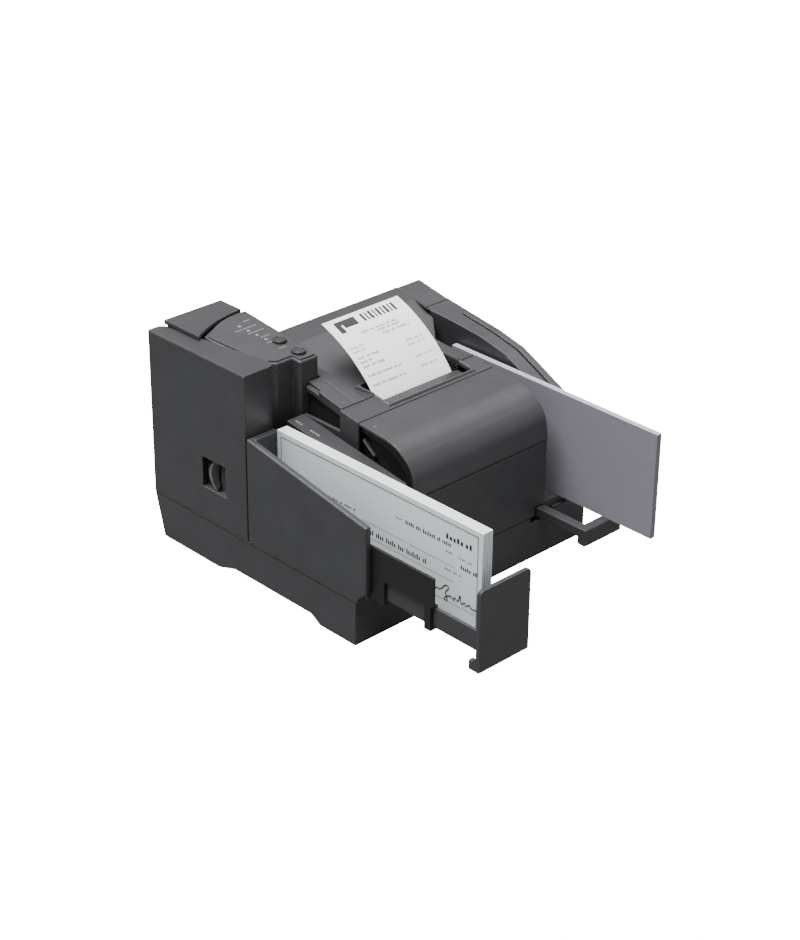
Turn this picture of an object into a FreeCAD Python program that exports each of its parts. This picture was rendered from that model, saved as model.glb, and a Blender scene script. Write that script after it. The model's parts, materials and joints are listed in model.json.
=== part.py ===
import FreeCAD, Part
import math
import os
import Sketcher
from FreeCAD import Vector

# Desktop cheque scanner with a receipt printer in its middle and a cheque stack on each side.
# Millimetres. The pieces are drawn in machine coordinates: X to the right from the left wall,
# Y to the rear from the front of the base, Z up from the table. Each finished piece is then
# shifted so that the origin lies on the table under the middle of the whole machine.

SIZES = {
    # whole machine
    "width": 249.0, "depth": 234.0, "base_height": 38.0, "tray_reach": 126.0,
    "wall": 2.5, "thin_wall": 1.6, "seam": 0.4, "fit": 0.06, "slack": 0.3, "overrun": 1.0,
    # base
    "skirt_gap": 1.0, "deck": 2.5, "arch_rise": 6.0, "front_foot": 39.0, "arch_front": 49.0,
    "arch_rear": 137.0, "rear_foot": 156.0, "rear_lean": 10.0, "plate_rise": 8.0, "plate_sheet": 1.0,
    "trough_wide": 27.0, "trough_inset": 36.0, "trough_length": 100.0, "trough_drop": 5.0,
    "boss_radius": 4.5, "boss_inset": 24.0, "screw_radius": 1.5, "screw_head_radius": 3.0,
    "screw_head": 1.8, "screw_length": 12.0, "foot_radius": 9.0, "foot_taper": 1.5, "foot_inset": 28.0,
    # board and sockets
    "board_left": 60.0, "board_inset": 30.0, "board_front": 94.0, "board_rear": 214.0,
    "board_rise": 14.0, "board_sheet": 1.6, "chip": 14.0, "chip_tall": 2.2,
    "socket_inset": 131.0, "socket_wide": 14.0, "socket_pitch": 20.0, "socket_tall": 12.0,
    "socket_front": 206.0, "socket_rear": 225.5, "socket_bore": 3.6, "socket_depth": 9.0,
    "rocker_radius": 7.0, "rocker_wide": 12.0, "rocker_inset": 59.0, "rocker_y": 224.0, "rocker_z": 22.0,
    "rocker_pin": 1.2,
    # tower
    "tower_front": 121.0, "cover_drop": 4.0, "cover_front_wide": 24.0, "cover_nose": 28.0,
    "cover_bulge": 31.0, "bulge_y": 128.0, "cover_waist": 20.4, "waist_y": 190.0,
    "cover_tail": 13.5, "tail_y": 231.5, "cover_heel": 10.0, "path_gap": 3.0, "liner": 1.6,
    "casing_front": 131.5, "casing_step": 123.0, "casing_left": 42.0, "casing_step_x": 57.0,
    "casing_mouth_y": 138.5, "casing_right": 76.0, "casing_rear_left": 195.6, "casing_turn_x": 24.0,
    "casing_front_drop": 11.3, "casing_rear_drop": 2.7, "casing_round": 2.5, "edge_round": 1.5,
    "panel_inset": 1.8, "panel_sheet": 1.2, "button_radius": 5.5, "button_tall": 4.0,
    "button_hub": 3.0, "button_front_x": 65.5, "button_front_y": 134.0, "button_rear_x": 64.8,
    "button_rear_y": 155.2, "lamp": 2.4, "lamp_pitch": 9.0, "lamp_x": 57.0, "lamp_y": 162.0,
    "window_front": 139.0, "window_low": 48.0, "window_drop": 28.0,
    # lever in the scanner cover
    "cup_front": 143.0, "cup_rear": 173.0, "cup_low": 66.5, "cup_high": 92.5, "cup_depth": 7.0,
    "lever_front": 157.0, "lever_rear": 167.0, "lever_thick": 2.2, "lever_travel": 3.0,
    "stem_tall": 9.0, "stem_long": 7.0, "hook_long": 16.0,
    # hinge of the scanner cover
    "cover_axis_x": 7.5, "cover_axis_y": 227.5, "hinge_pin": 2.0, "lug": 4.5, "lug_tall": 8.0,
    # lid over the cartridge
    "lid_left": 15.4, "lid_right": 72.0, "lid_rear": 233.5, "lid_top": 182.0, "lid_thick": 3.4,
    "lid_front_left": 191.5, "lid_front_mid": 202.5, "lid_front_right": 209.2, "lid_mid_x": 38.0,
    "lid_gap": 0.8, "skirt_drop": 23.7, "bay_drop": 25.2, "bay_front": 209.6, "lid_axis_y": 230.5,
    "lid_axis_drop": 19.7, "lid_slot_drop": 16.0, "small_pin": 1.2, "cartridge_wide": 26.0,
    "cartridge_deep": 12.0, "cartridge_tall": 32.0, "cartridge_drop": 51.0,
    # feeder pocket
    "pocket_front": 11.0, "pocket_wall": 4.7, "pocket_nose_low": 49.0, "pocket_nose_high": 104.4,
    "pocket_rear_high": 126.8, "pocket_rear_wall": 5.5, "pocket_rear": 119.2, "pocket_cut_y": 2.0,
    "pocket_cut_z": 41.5, "floor_sheet": 1.2, "pocket_rear_right": 27.0, "guide_rib": 1.6,
    "guide_rib_out": 4.0,
    "inner_left": 40.0, "inner_right": 57.0, "inner_tip": 54.0, "inner_front": 3.0,
    "inner_high": 129.0, "inner_low": 115.6,
    "pusher_thick": 1.8, "pusher_front": 76.0, "pusher_rear": 106.0, "pusher_low": 46.0,
    "pusher_high": 96.0, "pusher_left": 22.6,
    # cheques
    "tray_spare": 23.3, "cheque_tall": 89.0, "cheque_rise": 39.7, "waiting_left": 25.0,
    "waiting_thick": 9.7, "waiting_rear": 113.3, "finished_inset": 29.3, "finished_thick": 5.0,
    "finished_rear": 123.0, "finished_rise": 45.0,
    # telescopic tray
    "channel_left": 5.2, "channel_sheet": 2.0, "channel_front": 75.0, "channel_inside": 40.0,
    "channel_low": 44.5, "channel_high": 88.5, "rail_low": 48.5, "rail_high": 64.0, "rail_left": 7.6,
    "rail_sheet": 2.2, "rail_inside": 2.0, "clip_front": 72.5, "clip_rear": 66.0, "window_reach": 25.0,
    "stop_sheet": 3.4, "stop_wide": 50.0, "stop_low": 36.5, "stop_high": 102.5, "stop_round": 3.5,
    "stop_foot": 10.0, "stop_foot_tall": 7.5, "stop_foot_wide": 4.4, "strip_left": 20.0, "strip_right": 44.0,
    "strip_inside": 31.0, "strip_sheet": 2.4,
    # exit side
    "arm_inset": 56.0, "arm_wide": 7.7, "arm_top": 44.7, "arm_tall": 7.7, "arm_reach": 51.0,
    "arm_bar": 8.0, "arm_leg": 14.0, "arm_end_inset": 14.0, "arm_inside": 50.0,
    "exit_inset": 45.8, "exit_wide": 23.4, "exit_front": 3.0, "exit_rear": 160.0, "exit_top": 44.7,
    "side_thick": 21.0, "side_front": 1.0, "side_nose": 92.0, "side_brow_y": 8.0, "side_brow": 107.0,
    "side_knee_y": 27.3, "side_knee": 118.7, "side_hip_y": 54.0, "side_hip": 132.0,
    "side_bend_y": 72.0, "side_bend": 140.5, "side_waist_y": 98.4, "side_waist": 146.5,
    "side_rear_y": 157.0, "side_rear": 154.8, "side_throat_y": 122.0,
    "side_mouth": 5.2, "groove_inset": 8.5, "groove_wide": 2.2, "groove_drop": 12.0,
    "groove_rear": 134.0,
    "access_rear": 192.0, "access_top": 161.3, "access_skirt": 148.3, "access_axis_y": 188.6,
    "access_axis_z": 152.0, "shelf_top": 146.6, "access_slot": 155.0, "access_lug_inset": 10.8, "access_crown": 2.1,
    "head_long": 14.0, "head_tall": 9.0, "head_y": 96.0, "head_z": 136.0,
    # printer
    "printer_left": 60.0, "printer_inset": 47.0, "front_top": 100.3, "front_seam": 101.4,
    "side_wall_top": 127.0, "notch_top": 46.0, "housing_rear": 186.0,
    "cover_rear": 61.0, "cover_rear_z": 141.5, "cover_shoulder_y": 31.5, "cover_shoulder": 139.2,
    "cover_bend_y": 21.5, "cover_bend": 136.4, "cover_brow_y": 12.5, "cover_brow": 131.2,
    "cover_cheek_y": 5.3, "cover_cheek": 124.1, "cover_lip_y": 2.0, "cover_lip": 115.3,
    "cover_sheet": 2.2, "front_axis_y": 1.6, "front_axis_z": 103.2,
    "strip_front": 61.7, "strip_rear": 81.8, "strip_front_top": 141.6, "strip_rear_top": 144.6,
    "strip_leg": 112.0, "slot_left": 96.5, "slot_inset": 17.0, "slot_front": 67.0, "slot_rear": 100.0,
    "rim": 2.2, "rim_tall": 1.1,
    "roll_front": 82.3, "lobe_rear": 122.0, "roll_left": 62.3, "roll_inner_left": 77.0,
    "roll_inset": 27.7, "roll_waist_y": 124.0, "roll_hip_y": 147.0,
    "roll_front_top": 144.9, "lobe_top": 152.6, "lobe_thick": 7.0, "lobe_notch_y": 108.0, "lobe_notch": 3.0,
     "ridge_y": 191.7, "ridge": 161.3, "roll_skirt": 136.0,
    "scoop_radius": 150.0, "scoop_y": 104.0, "scoop_low": 143.4, "scoop_left": 86.0,
    "roll_axis_y": 187.0, "roll_axis_z": 140.0, "barrel": 4.6, "knuckle": 5.0, "knuckle_left": 98.4,
    "knuckle_inset": 21.6, "lug_leg": 38.0,
    "tear_rear": 79.2, "tear_sheet": 1.4, "tear_top": 140.6, "tooth": 1.0,
    "head_front": 75.5, "head_sheet": 4.5, "head_low": 124.5, "head_high": 136.5,
    "platen_y": 87.0, "cheek_front": 83.0, "platen_z": 130.5, "platen_radius": 6.0, "platen_shaft_radius": 2.5,
    "frame_inset": 6.0, "frame_sheet": 2.0, "frame_front": 9.0,
    "frame_rear": 183.0, "frame_top": 134.5, "frame_step_y": 58.0,
    "roll_radius": 40.0, "roll_core": 9.0, "roll_y": 139.0, "roll_z": 95.0, "paper_left": 97.0,
    "paper_side": 25.0, "bucket_gap": 0.4, "bucket_sheet": 1.8, "bucket_side": 2.0,
    "strip_y": 79.9, "strip_z": 137.5, "strip_top_y": 143.0, "strip_top_z": 183.3, "strip_mid_y": 105.5,
    "strip_mid_z": 163.8, "paper_sheet": 0.5,
    "pinion_radius": 5.0, "gear_radius": 10.0, "tooth_tall": 1.8, "gear_thick": 4.0, "gear_inset": 15.5,
    "motor_radius": 8.5, "motor_long": 22.0,
    # transport drive
    "shaft_radius": 2.5, "shaft_low": 21.0, "pulley_radius": 6.0, "pulley_low": 24.0, "pulley_tall": 6.0,
    "flange_radius": 8.0, "flange": 1.0, "belt_sheet": 1.2, "belt_gap": 0.15,
    "pick_x": 44.6, "pick_y": 104.0, "pick_radius": 9.0, "pick_low": 50.0, "pick_high": 80.0,
    "inlet_x": 35.2, "inlet_y": 165.0, "inlet_radius": 8.0, "inlet_low": 62.0, "inlet_high": 88.0,
    "exit_roller_inset": 36.0, "exit_y": 150.0, "exit_radius": 8.0, "exit_low": 60.0, "exit_high": 89.0,
    "feed_x": 125.0, "feed_y": 60.0, "feed_wide": 42.0, "feed_tall": 12.5, "shaft_over": 10.0,
    # rear housing and the guide in it
    "rear_front": 193.0, "rear_drop": 48.0, "rear_left": 18.2, "guide_sheet": 1.2, "guide_rear": 224.0,
    "guide_drop": 2.0, "guide_turn": 30.0,
}


NEARLY_ALL_SHARE = 0.999999
SOCKETS = 3
AIR_SLOTS = 5
LAMPS = 4
CHIPS = 4
FINS = 2
TEETH = 20
GEAR_TEETH = 24
PINION_TEETH = 12
TOOTH_ROOT_SHARE = 0.32
TOOTH_SHARE = 0.225
TOOTH_TIP_SHARE = 0.11
TOOTH_DEPTH_SHARE = 0.6
ROCKER_WING_SHARE = 0.8
ROCKER_FACE_SHARE = 0.7
BEND_SHARE = 0.29
GUIDE_START_SHARE = 0.6
GUIDE_END_SHARE = 0.9
SHELF_SHARE = 0.8
BROW_SHARE = 0.7
PAPER_TURN_SHARE = 0.7
SPINDLE_SHARE = 0.6
HALF_TOOTH_SHARE = 0.5


class Length:
    """A size with its sheet expression, so that plain arithmetic gives bound values."""

    def __init__(self, value, text):
        self.value = value
        self.text = text

    def __add__(self, other):
        other = length(other)
        return Length(self.value + other.value, f"({self.text} + {other.text})")

    def __radd__(self, other):
        return length(other) + self

    def __sub__(self, other):
        other = length(other)
        return Length(self.value - other.value, f"({self.text} - {other.text})")

    def __mul__(self, factor):
        factor = length(factor)
        return Length(self.value * factor.value, f"({self.text} * {factor.text})")

    def __rmul__(self, factor):
        return length(factor) * self

    def __truediv__(self, factor):
        factor = length(factor)
        return Length(self.value / factor.value, f"({self.text} / {factor.text})")

    def __neg__(self):
        return Length(-self.value, f"(-{self.text})")


def length(number):
    if isinstance(number, Length):
        return number
    return Length(float(number), repr(float(number)))


class Sizes:
    pass


doc = FreeCAD.newDocument("cheque_scanner")
sheet = doc.addObject("Spreadsheet::Sheet", "sizes")
s = Sizes()
for row, (alias, number) in enumerate(SIZES.items(), start=1):
    sheet.set(f"A{row}", alias)
    sheet.set(f"B{row}", str(number))
    sheet.setAlias(f"B{row}", alias)
    setattr(s, alias, Length(number, f"sizes.{alias}"))
doc.recompute()

zero = length(0)
finished_pieces = []

# places that follow from the driving sizes: across the width, up to the lid, along the tray

s.side_left = s.width - s.side_thick
s.side_mouth_x = s.side_left - s.side_mouth
s.groove_left = s.width - s.groove_inset
s.board_right = s.width - s.board_inset
s.socket_left = s.width - s.socket_inset
s.rocker_x = s.width - s.rocker_inset
s.trough_right = s.width - s.trough_inset
s.trough_left = s.trough_right - s.trough_wide
s.arm_left = s.width - s.arm_inset
s.arm_right = s.width - s.arm_end_inset
s.exit_left = s.width - s.exit_inset
s.exit_right = s.exit_left + s.exit_wide
s.exit_x = s.width - s.exit_roller_inset
s.finished_left = s.width - s.finished_inset
s.printer_right = s.width - s.printer_inset
s.frame_left = s.printer_left + s.frame_inset
s.frame_right = s.printer_right - s.frame_inset
s.slot_right = s.printer_right - s.slot_inset
s.roll_waist = s.printer_right - s.slack
s.roll_right = s.width - s.roll_inset
s.knuckle_right = s.printer_right - s.knuckle_inset
s.gear_x = s.frame_right - s.gear_inset
s.paper_wide = s.printer_right - s.paper_side - s.paper_left
s.head_left = s.paper_left - s.slack
s.head_right = s.paper_left + s.paper_wide + s.slack
s.pin_of_front = s.small_pin / 2
s.chip_pitch = (s.board_right - s.board_left - 2 * s.chip) / CHIPS
s.cover_top = s.lid_top - s.cover_drop
s.window_high = s.cover_top - s.window_drop
s.casing_low = s.lid_top - s.casing_front_drop
s.casing_high = s.lid_top - s.casing_rear_drop
s.casing_rear = s.lid_front_right - s.lid_gap
s.lid_seat = s.lid_top - s.lid_thick
s.lid_skirt = s.lid_top - s.skirt_drop
s.lid_axis_z = s.lid_top - s.lid_axis_drop
s.lid_slot = s.lid_top - s.lid_slot_drop
s.bay_top = s.lid_top - s.bay_drop
s.cartridge_low = s.lid_top - s.cartridge_drop
s.rear_top = s.lid_top - s.rear_drop
s.guide_high = s.rear_top - s.guide_drop
s.cheque_long = s.waiting_rear + s.tray_reach - s.tray_spare
sky = s.lid_top + s.ridge
origin_x = s.width / 2
origin_y = (s.depth - s.tray_reach) / 2


# helpers that draw, cut and finish

def bind(thing, prop, size):
    thing.setExpression(prop, length(size).text)


def origin_plane(body, plane):
    for feature in body.Origin.OriginFeatures:
        if feature.Role == plane + "_Plane":
            return feature
    raise ValueError("no plane " + plane)


def point_of(corner):
    return Vector(length(corner[-2]).value, length(corner[-1]).value, 0)


def pin_point(sketch, name, geometry, place, corner):
    across = sketch.addConstraint(Sketcher.Constraint(
        "DistanceX", -1, 1, geometry, place, length(corner[-2]).value))
    sketch.renameConstraint(across, name + "_across")
    bind(sketch, f"Constraints.{name}_across", corner[-2])
    along = sketch.addConstraint(Sketcher.Constraint(
        "DistanceY", -1, 1, geometry, place, length(corner[-1]).value))
    sketch.renameConstraint(along, name + "_along")
    bind(sketch, f"Constraints.{name}_along", corner[-1])


def draw(body, name, plane, outline, offset):
    """Closed outline on one of the body's planes; ("arc", a, b) is a point that a round side passes."""
    sketch = body.newObject("Sketcher::SketchObject", name)
    sketch.AttachmentSupport = [(origin_plane(body, plane), "")]
    sketch.MapMode = "FlatFace"
    bind(sketch, "AttachmentOffset.Base.z", -offset if plane == "XZ" else offset)
    corners = [item for item in outline if item[0] != "arc"]
    sides = []
    for index, item in enumerate(outline):
        if item[0] == "arc":
            continue
        following = outline[(index + 1) % len(outline)]
        through = following if following[0] == "arc" else None
        end = outline[(index + 2) % len(outline)] if through else following
        sides.append((item, through, end))
    ends = []
    for index, (start, through, end) in enumerate(sides):
        if through is None:
            number = sketch.addGeometry(Part.LineSegment(point_of(start), point_of(end)), False)
            ends.append((number, 1, 2))
            continue
        turn = (point_of(through) - point_of(start)).cross(point_of(end) - point_of(through)).z
        first, last = (start, end) if turn > 0 else (end, start)
        arc = Part.Arc(point_of(first), point_of(through), point_of(last))
        number = sketch.addGeometry(arc, False)
        ends.append((number, 1, 2) if turn > 0 else (number, 2, 1))
        marker = sketch.addGeometry(Part.Point(point_of(through)), True)
        sketch.addConstraint(Sketcher.Constraint("PointOnObject", marker, 1, number))
        pin_point(sketch, f"bow{index}", marker, 1, through)
    for index, corner in enumerate(corners):
        number, begin, finish_end = ends[index]
        following, following_begin = ends[(index + 1) % len(ends)][:2]
        sketch.addConstraint(Sketcher.Constraint(
            "Coincident", number, finish_end, following, following_begin))
        pin_point(sketch, f"corner{index}", number, begin, corner)
    return sketch


def new_body(name):
    return doc.addObject("PartDesign::Body", name)


def pad(body, plane, outline, low, high):
    """Solid from low to high along the plane's own axis."""
    low, high = length(low), length(high)
    sketch = draw(body, body.Name + "_sketch", plane, outline, low)
    feature = body.newObject("PartDesign::Pad", body.Name + "_pad")
    feature.Profile = sketch
    bind(feature, "Length", high - low)
    feature.Reversed = plane == "XZ"
    return feature


def pocket(body, plane, outline, low, high):
    low, high = length(low), length(high)
    doc.recompute()
    before = body.Shape.Volume
    sketch = draw(body, body.Name + "_sketch", plane, outline, low)
    feature = body.newObject("PartDesign::Pocket", body.Name + "_pocket")
    feature.Profile = sketch
    bind(feature, "Length", high - low)
    feature.Reversed = plane != "XZ"
    doc.recompute()
    if body.Shape.Volume > before * NEARLY_ALL_SHARE:
        print("pocket cuts little:", body.Label, feature.Name)
    return feature


def box_outline(left, front, right, rear):
    return [(left, front), (right, front), (right, rear), (left, rear)]


def round_edges(body, radius, wanted):
    """Fillet of the body's edges for which wanted(start, end) is true."""
    doc.recompute()
    names = []
    for index, edge in enumerate(body.Shape.Edges, start=1):
        if len(edge.Vertexes) == 2 and wanted(edge.Vertexes[0].Point, edge.Vertexes[1].Point):
            names.append(f"Edge{index}")
    if not names:
        print("no edge to round:", body.Label)
        return None
    sharp = body.Tip
    feature = body.newObject("PartDesign::Fillet", body.Name + "_fillet")
    feature.Base = (sharp, names)
    bind(feature, "Radius", radius)
    doc.recompute()
    return feature


def near(value, size):
    return abs(value - length(size).value) < s.fit.value


def upright(a, b):
    return near(a.x, b.x) and near(a.y, b.y)


def solid_block(name, low, high):
    block = doc.addObject("Part::Box", name)
    for index, (side, axis) in enumerate((("Length", "x"), ("Width", "y"), ("Height", "z"))):
        bind(block, side, length(high[index]) - low[index])
        bind(block, "Placement.Base." + axis, low[index])
    return block


TURNS = {
    "x": FreeCAD.Rotation(Vector(0, 1, 0), 90),
    "y": FreeCAD.Rotation(Vector(1, 0, 0), -90),
    "z": FreeCAD.Rotation(),
}


def rod(name, axis, start, radius, long, end_radius=None):
    kind = "Part::Cylinder" if end_radius is None else "Part::Cone"
    item = doc.addObject(kind, name)
    item.Placement = FreeCAD.Placement(Vector(), TURNS[axis])
    for index, letter in enumerate("xyz"):
        bind(item, "Placement.Base." + letter, start[index])
    bind(item, "Height", long)
    if end_radius is None:
        bind(item, "Radius", radius)
    else:
        bind(item, "Radius1", radius)
        bind(item, "Radius2", end_radius)
    return item


def fuse(name, parts):
    item = doc.addObject("Part::MultiFuse", name)
    item.Shapes = parts
    return item


def group(name, parts):
    """Separate solids that share one node."""
    item = doc.addObject("Part::Compound", name)
    item.Links = parts
    return item


def cut(name, base, tools):
    item = doc.addObject("Part::Cut", name)
    item.Base = base
    item.Tool = tools[0] if len(tools) == 1 else fuse(name + "_tools", tools)
    return item


def common(name, parts):
    item = doc.addObject("Part::MultiCommon", name)
    item.Shapes = parts
    return item


def finish(thing, label):
    """Name the finished piece and shift it to the machine's own origin."""
    thing.Label = label
    bind(thing, "Placement.Base.x", -origin_x)
    bind(thing, "Placement.Base.y", -origin_y)
    finished_pieces.append(thing)
    return thing


# places that several pieces share

deck_low = s.base_height - s.deck
plate_top = s.plate_rise + s.plate_sheet
waiting_right = s.waiting_left + s.waiting_thick
boss_places = [
    (s.boss_inset, s.boss_inset),
    (s.width - s.boss_inset, s.boss_inset),
    (s.boss_inset, s.depth - s.boss_inset - s.rear_lean),
    (s.width - s.boss_inset, s.depth - s.boss_inset - s.rear_lean),
]
shafts = {
    "pick": (s.pick_x, s.pick_y),
    "inlet": (s.inlet_x, s.inlet_y),
    "exit": (s.exit_x, s.exit_y),
}
socket_places = [s.socket_left + index * s.socket_pitch for index in range(SOCKETS)]
lid_lug_places = (s.rear_left + s.wall + s.thin_wall, s.lid_right - s.wall - s.thin_wall - s.lug)
cartridge_left = s.rear_left + s.wall + s.lug_tall
cartridge_rear = s.lid_rear - s.lug_tall - s.seam
motor_z = s.platen_z - s.gear_radius - s.pinion_radius
access_lug_places = (s.side_mouth_x + s.lug, s.width - s.access_lug_inset)
rocker_left = s.rocker_x
rocker_right = s.rocker_x + s.rocker_wide


def cover_edge(y):
    """Path side of the scanner cover at the depth y, along its long straight stretch."""
    share = (length(y) - s.bulge_y) / (s.waist_y - s.bulge_y)
    return s.cover_bulge - (s.cover_bulge - s.cover_waist) * share


def casing_edge(y):
    return cover_edge(y) + s.path_gap


def slope(y, first, last):
    """Height at y on the line between two (y, z) points."""
    share = (length(y) - first[0]) / (length(last[0]) - first[0])
    return first[1] + (last[1] - first[1]) * share


# base

def make_base_shell():
    body = new_body("base_block")
    pad(body, "YZ", [
        (zero, s.skirt_gap), (s.front_foot, s.skirt_gap),
        (s.arch_front, s.skirt_gap + s.arch_rise), (s.arch_rear, s.skirt_gap + s.arch_rise),
        (s.rear_foot, s.skirt_gap), (s.depth - s.rear_lean, s.skirt_gap),
        (s.depth, s.base_height), (zero, s.base_height)], zero, s.width)
    pocket(body, "YZ", [
        (s.wall, zero), (s.wall, deck_low), (s.depth - s.wall, deck_low),
        (s.depth - s.rear_lean - s.wall, zero)], s.wall, s.width - s.wall)
    trough_low = s.base_height - s.trough_drop
    pad(body, "XY", box_outline(
        s.trough_left - s.wall, zero, s.trough_right + s.wall, s.trough_length + s.wall),
        trough_low - s.wall, deck_low)
    pocket(body, "XY", box_outline(s.trough_left, -s.overrun, s.trough_right, s.trough_length),
           trough_low, s.base_height + s.overrun)
    bosses = [rod(f"boss{index}", "z", (x, y, plate_top), s.boss_radius, deck_low - plate_top)
              for index, (x, y) in enumerate(boss_places)]
    holes = [rod(f"boss_bore{index}", "z", (x, y, plate_top - s.overrun), s.screw_radius + s.fit,
                 s.screw_length)
             for index, (x, y) in enumerate(boss_places)]
    for name, (x, y) in shafts.items():
        holes.append(rod(name + "_deck_bore", "z", (x, y, deck_low - s.overrun),
                         s.shaft_radius + s.fit, s.deck + 2 * s.overrun))
    holes.append(rod("cover_pin_seat", "z", (s.cover_axis_x, s.cover_axis_y, deck_low - s.overrun),
                     s.hinge_pin + s.fit, s.deck + 2 * s.overrun))
    for index, left in enumerate(socket_places):
        holes.append(solid_block(
            f"socket_window{index}",
            (left - s.slack, s.socket_rear - s.wall, s.board_rise + s.board_sheet - s.slack),
            (left + s.socket_wide + s.slack, s.depth + s.overrun,
             s.board_rise + s.board_sheet + s.socket_tall + s.slack)))
    holes.append(solid_block(
        "rocker_window", (rocker_left - s.slack, s.rocker_y - s.wall, s.rocker_z - s.rocker_radius - s.slack),
        (rocker_right + s.slack, s.depth + s.overrun, s.rocker_z + s.rocker_radius + s.slack)))
    shell = fuse("base_with_bosses", [body] + bosses)
    return finish(cut("base_shell_cut", shell, holes), "base_shell")


def make_base_plate():
    margin = s.wall + s.slack
    rear = s.depth - s.rear_lean - margin
    sheet_metal = solid_block("bottom_sheet", (margin, margin, s.plate_rise),
                              (s.width - margin, rear, plate_top))
    posts = []
    for x in (s.board_left, s.board_right):
        for y in (s.board_front, s.board_rear):
            inward_x = s.boss_radius if x is s.board_left else -s.boss_radius
            inward_y = s.boss_radius if y is s.board_front else -s.boss_radius
            posts.append(rod("board_post", "z", (x + inward_x, y + inward_y, plate_top),
                             s.boss_radius / 2, s.board_rise - plate_top))
    cheeks = [solid_block("rocker_cheek", (left, s.rocker_y - s.boss_radius, plate_top),
                          (left + s.plate_sheet, s.rocker_y - s.slack, s.rocker_z + s.boss_radius))
              for left in (rocker_left - s.plate_sheet - s.slack, rocker_right + s.slack)]
    holes = [rod("plate_hole", "z", (x, y, s.plate_rise - s.overrun), s.screw_radius + s.fit,
                 s.plate_sheet + 2 * s.overrun) for x, y in boss_places]
    slots = []
    for index in range(AIR_SLOTS):
        left = s.board_right - s.foot_inset - index * 3 * s.wall
        slots.append(solid_block("air_slot", (left, s.arch_front, s.plate_rise - s.overrun),
                                 (left + s.wall, s.board_front - s.foot_radius, plate_top + s.overrun)))
    plate = fuse("bottom_with_posts", [sheet_metal] + posts + cheeks)
    return finish(cut("base_plate_cut", plate, holes + slots), "base_plate")


def make_feet():
    feet = []
    for x in (s.foot_inset, s.width - s.foot_inset):
        for y in (s.front_foot / 2, s.rear_foot + s.front_foot / 2):
            feet.append(rod("foot", "z", (x + (s.foot_radius if x is s.foot_inset else -s.foot_radius), y, zero),
                            s.foot_radius - s.foot_taper, s.plate_rise, s.foot_radius))
    return finish(group("feet_group", feet), "rubber_feet")


def make_screws():
    screws = []
    for x, y in boss_places:
        head = rod("screw_head", "z", (x, y, s.plate_rise - s.screw_head), s.screw_head_radius, s.screw_head)
        shank = rod("screw_shank", "z", (x, y, s.plate_rise), s.screw_radius, s.screw_length - s.screw_head)
        screws.append(fuse("base_screw", [head, shank]))
    return finish(group("screw_group", screws), "base_screws")


def make_board():
    top = s.board_rise + s.board_sheet
    sheet_part = solid_block("board_sheet", (s.board_left, s.board_front, s.board_rise),
                             (s.board_right, s.board_rear, top))
    chips = []
    for index in range(CHIPS):
        left = s.board_left + s.chip + index * s.chip_pitch
        chips.append(solid_block("chip", (left, s.board_front + s.chip, top),
                                 (left + s.chip, s.board_front + 2 * s.chip, top + s.chip_tall)))
        chips.append(rod("capacitor", "z", (left + s.chip / 2, s.board_front + 3 * s.chip, top),
                         s.chip_tall, 3 * s.chip_tall))
    return finish(fuse("board_parts", [sheet_part] + chips), "main_board")


def make_sockets():
    low = s.board_rise + s.board_sheet
    sockets = []
    for index, left in enumerate(socket_places):
        case = solid_block("socket_case", (left, s.socket_front, low),
                           (left + s.socket_wide, s.socket_rear, low + s.socket_tall))
        middle_z = low + s.socket_tall / 2
        if index == 0:
            mouth = rod("socket_mouth", "y",
                        (left + s.socket_wide / 2, s.socket_rear - s.socket_depth, middle_z),
                        s.socket_bore, s.socket_depth + s.overrun)
        else:
            mouth = solid_block("socket_mouth",
                                (left + s.wall, s.socket_rear - s.socket_depth, low + s.wall),
                                (left + s.socket_wide - s.wall, s.socket_rear + s.overrun,
                                 low + s.socket_tall - s.wall))
        sockets.append(cut("socket", case, [mouth]))
    return finish(group("socket_group", sockets), "rear_sockets")


def make_rocker():
    body = new_body("rocker_body")
    reach = s.rocker_radius - s.slack
    wing = reach * ROCKER_WING_SHARE
    pad(body, "YZ", [
        (s.rocker_y, s.rocker_z - reach / 2), (s.rocker_y + reach / 2, s.rocker_z - wing),
        ("arc", s.rocker_y + reach * ROCKER_FACE_SHARE, s.rocker_z),
        (s.rocker_y + reach / 2, s.rocker_z + wing),
        (s.rocker_y, s.rocker_z + reach / 2)], rocker_left, rocker_right)
    pins = rod("rocker_pins", "x", (rocker_left - s.slack, s.rocker_y + s.rocker_pin, s.rocker_z),
               s.rocker_pin, s.rocker_wide + 2 * s.slack)
    return finish(fuse("rocker_parts", [body, pins]), "power_rocker")


# tower on the left with the scanner cover

def cover_outline(inset):
    """Plan of the scanner cover, drawn in by inset on its outer sides."""
    return [
        (inset, s.tower_front + inset), (s.cover_front_wide, s.tower_front + inset),
        (s.cover_nose, s.tower_front + 3 * s.slack + inset), (s.cover_bulge, s.bulge_y),
        (s.cover_waist, s.waist_y), (s.cover_tail, s.tail_y), (s.cover_heel, s.depth - inset),
        (inset, s.depth - inset)]


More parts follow.
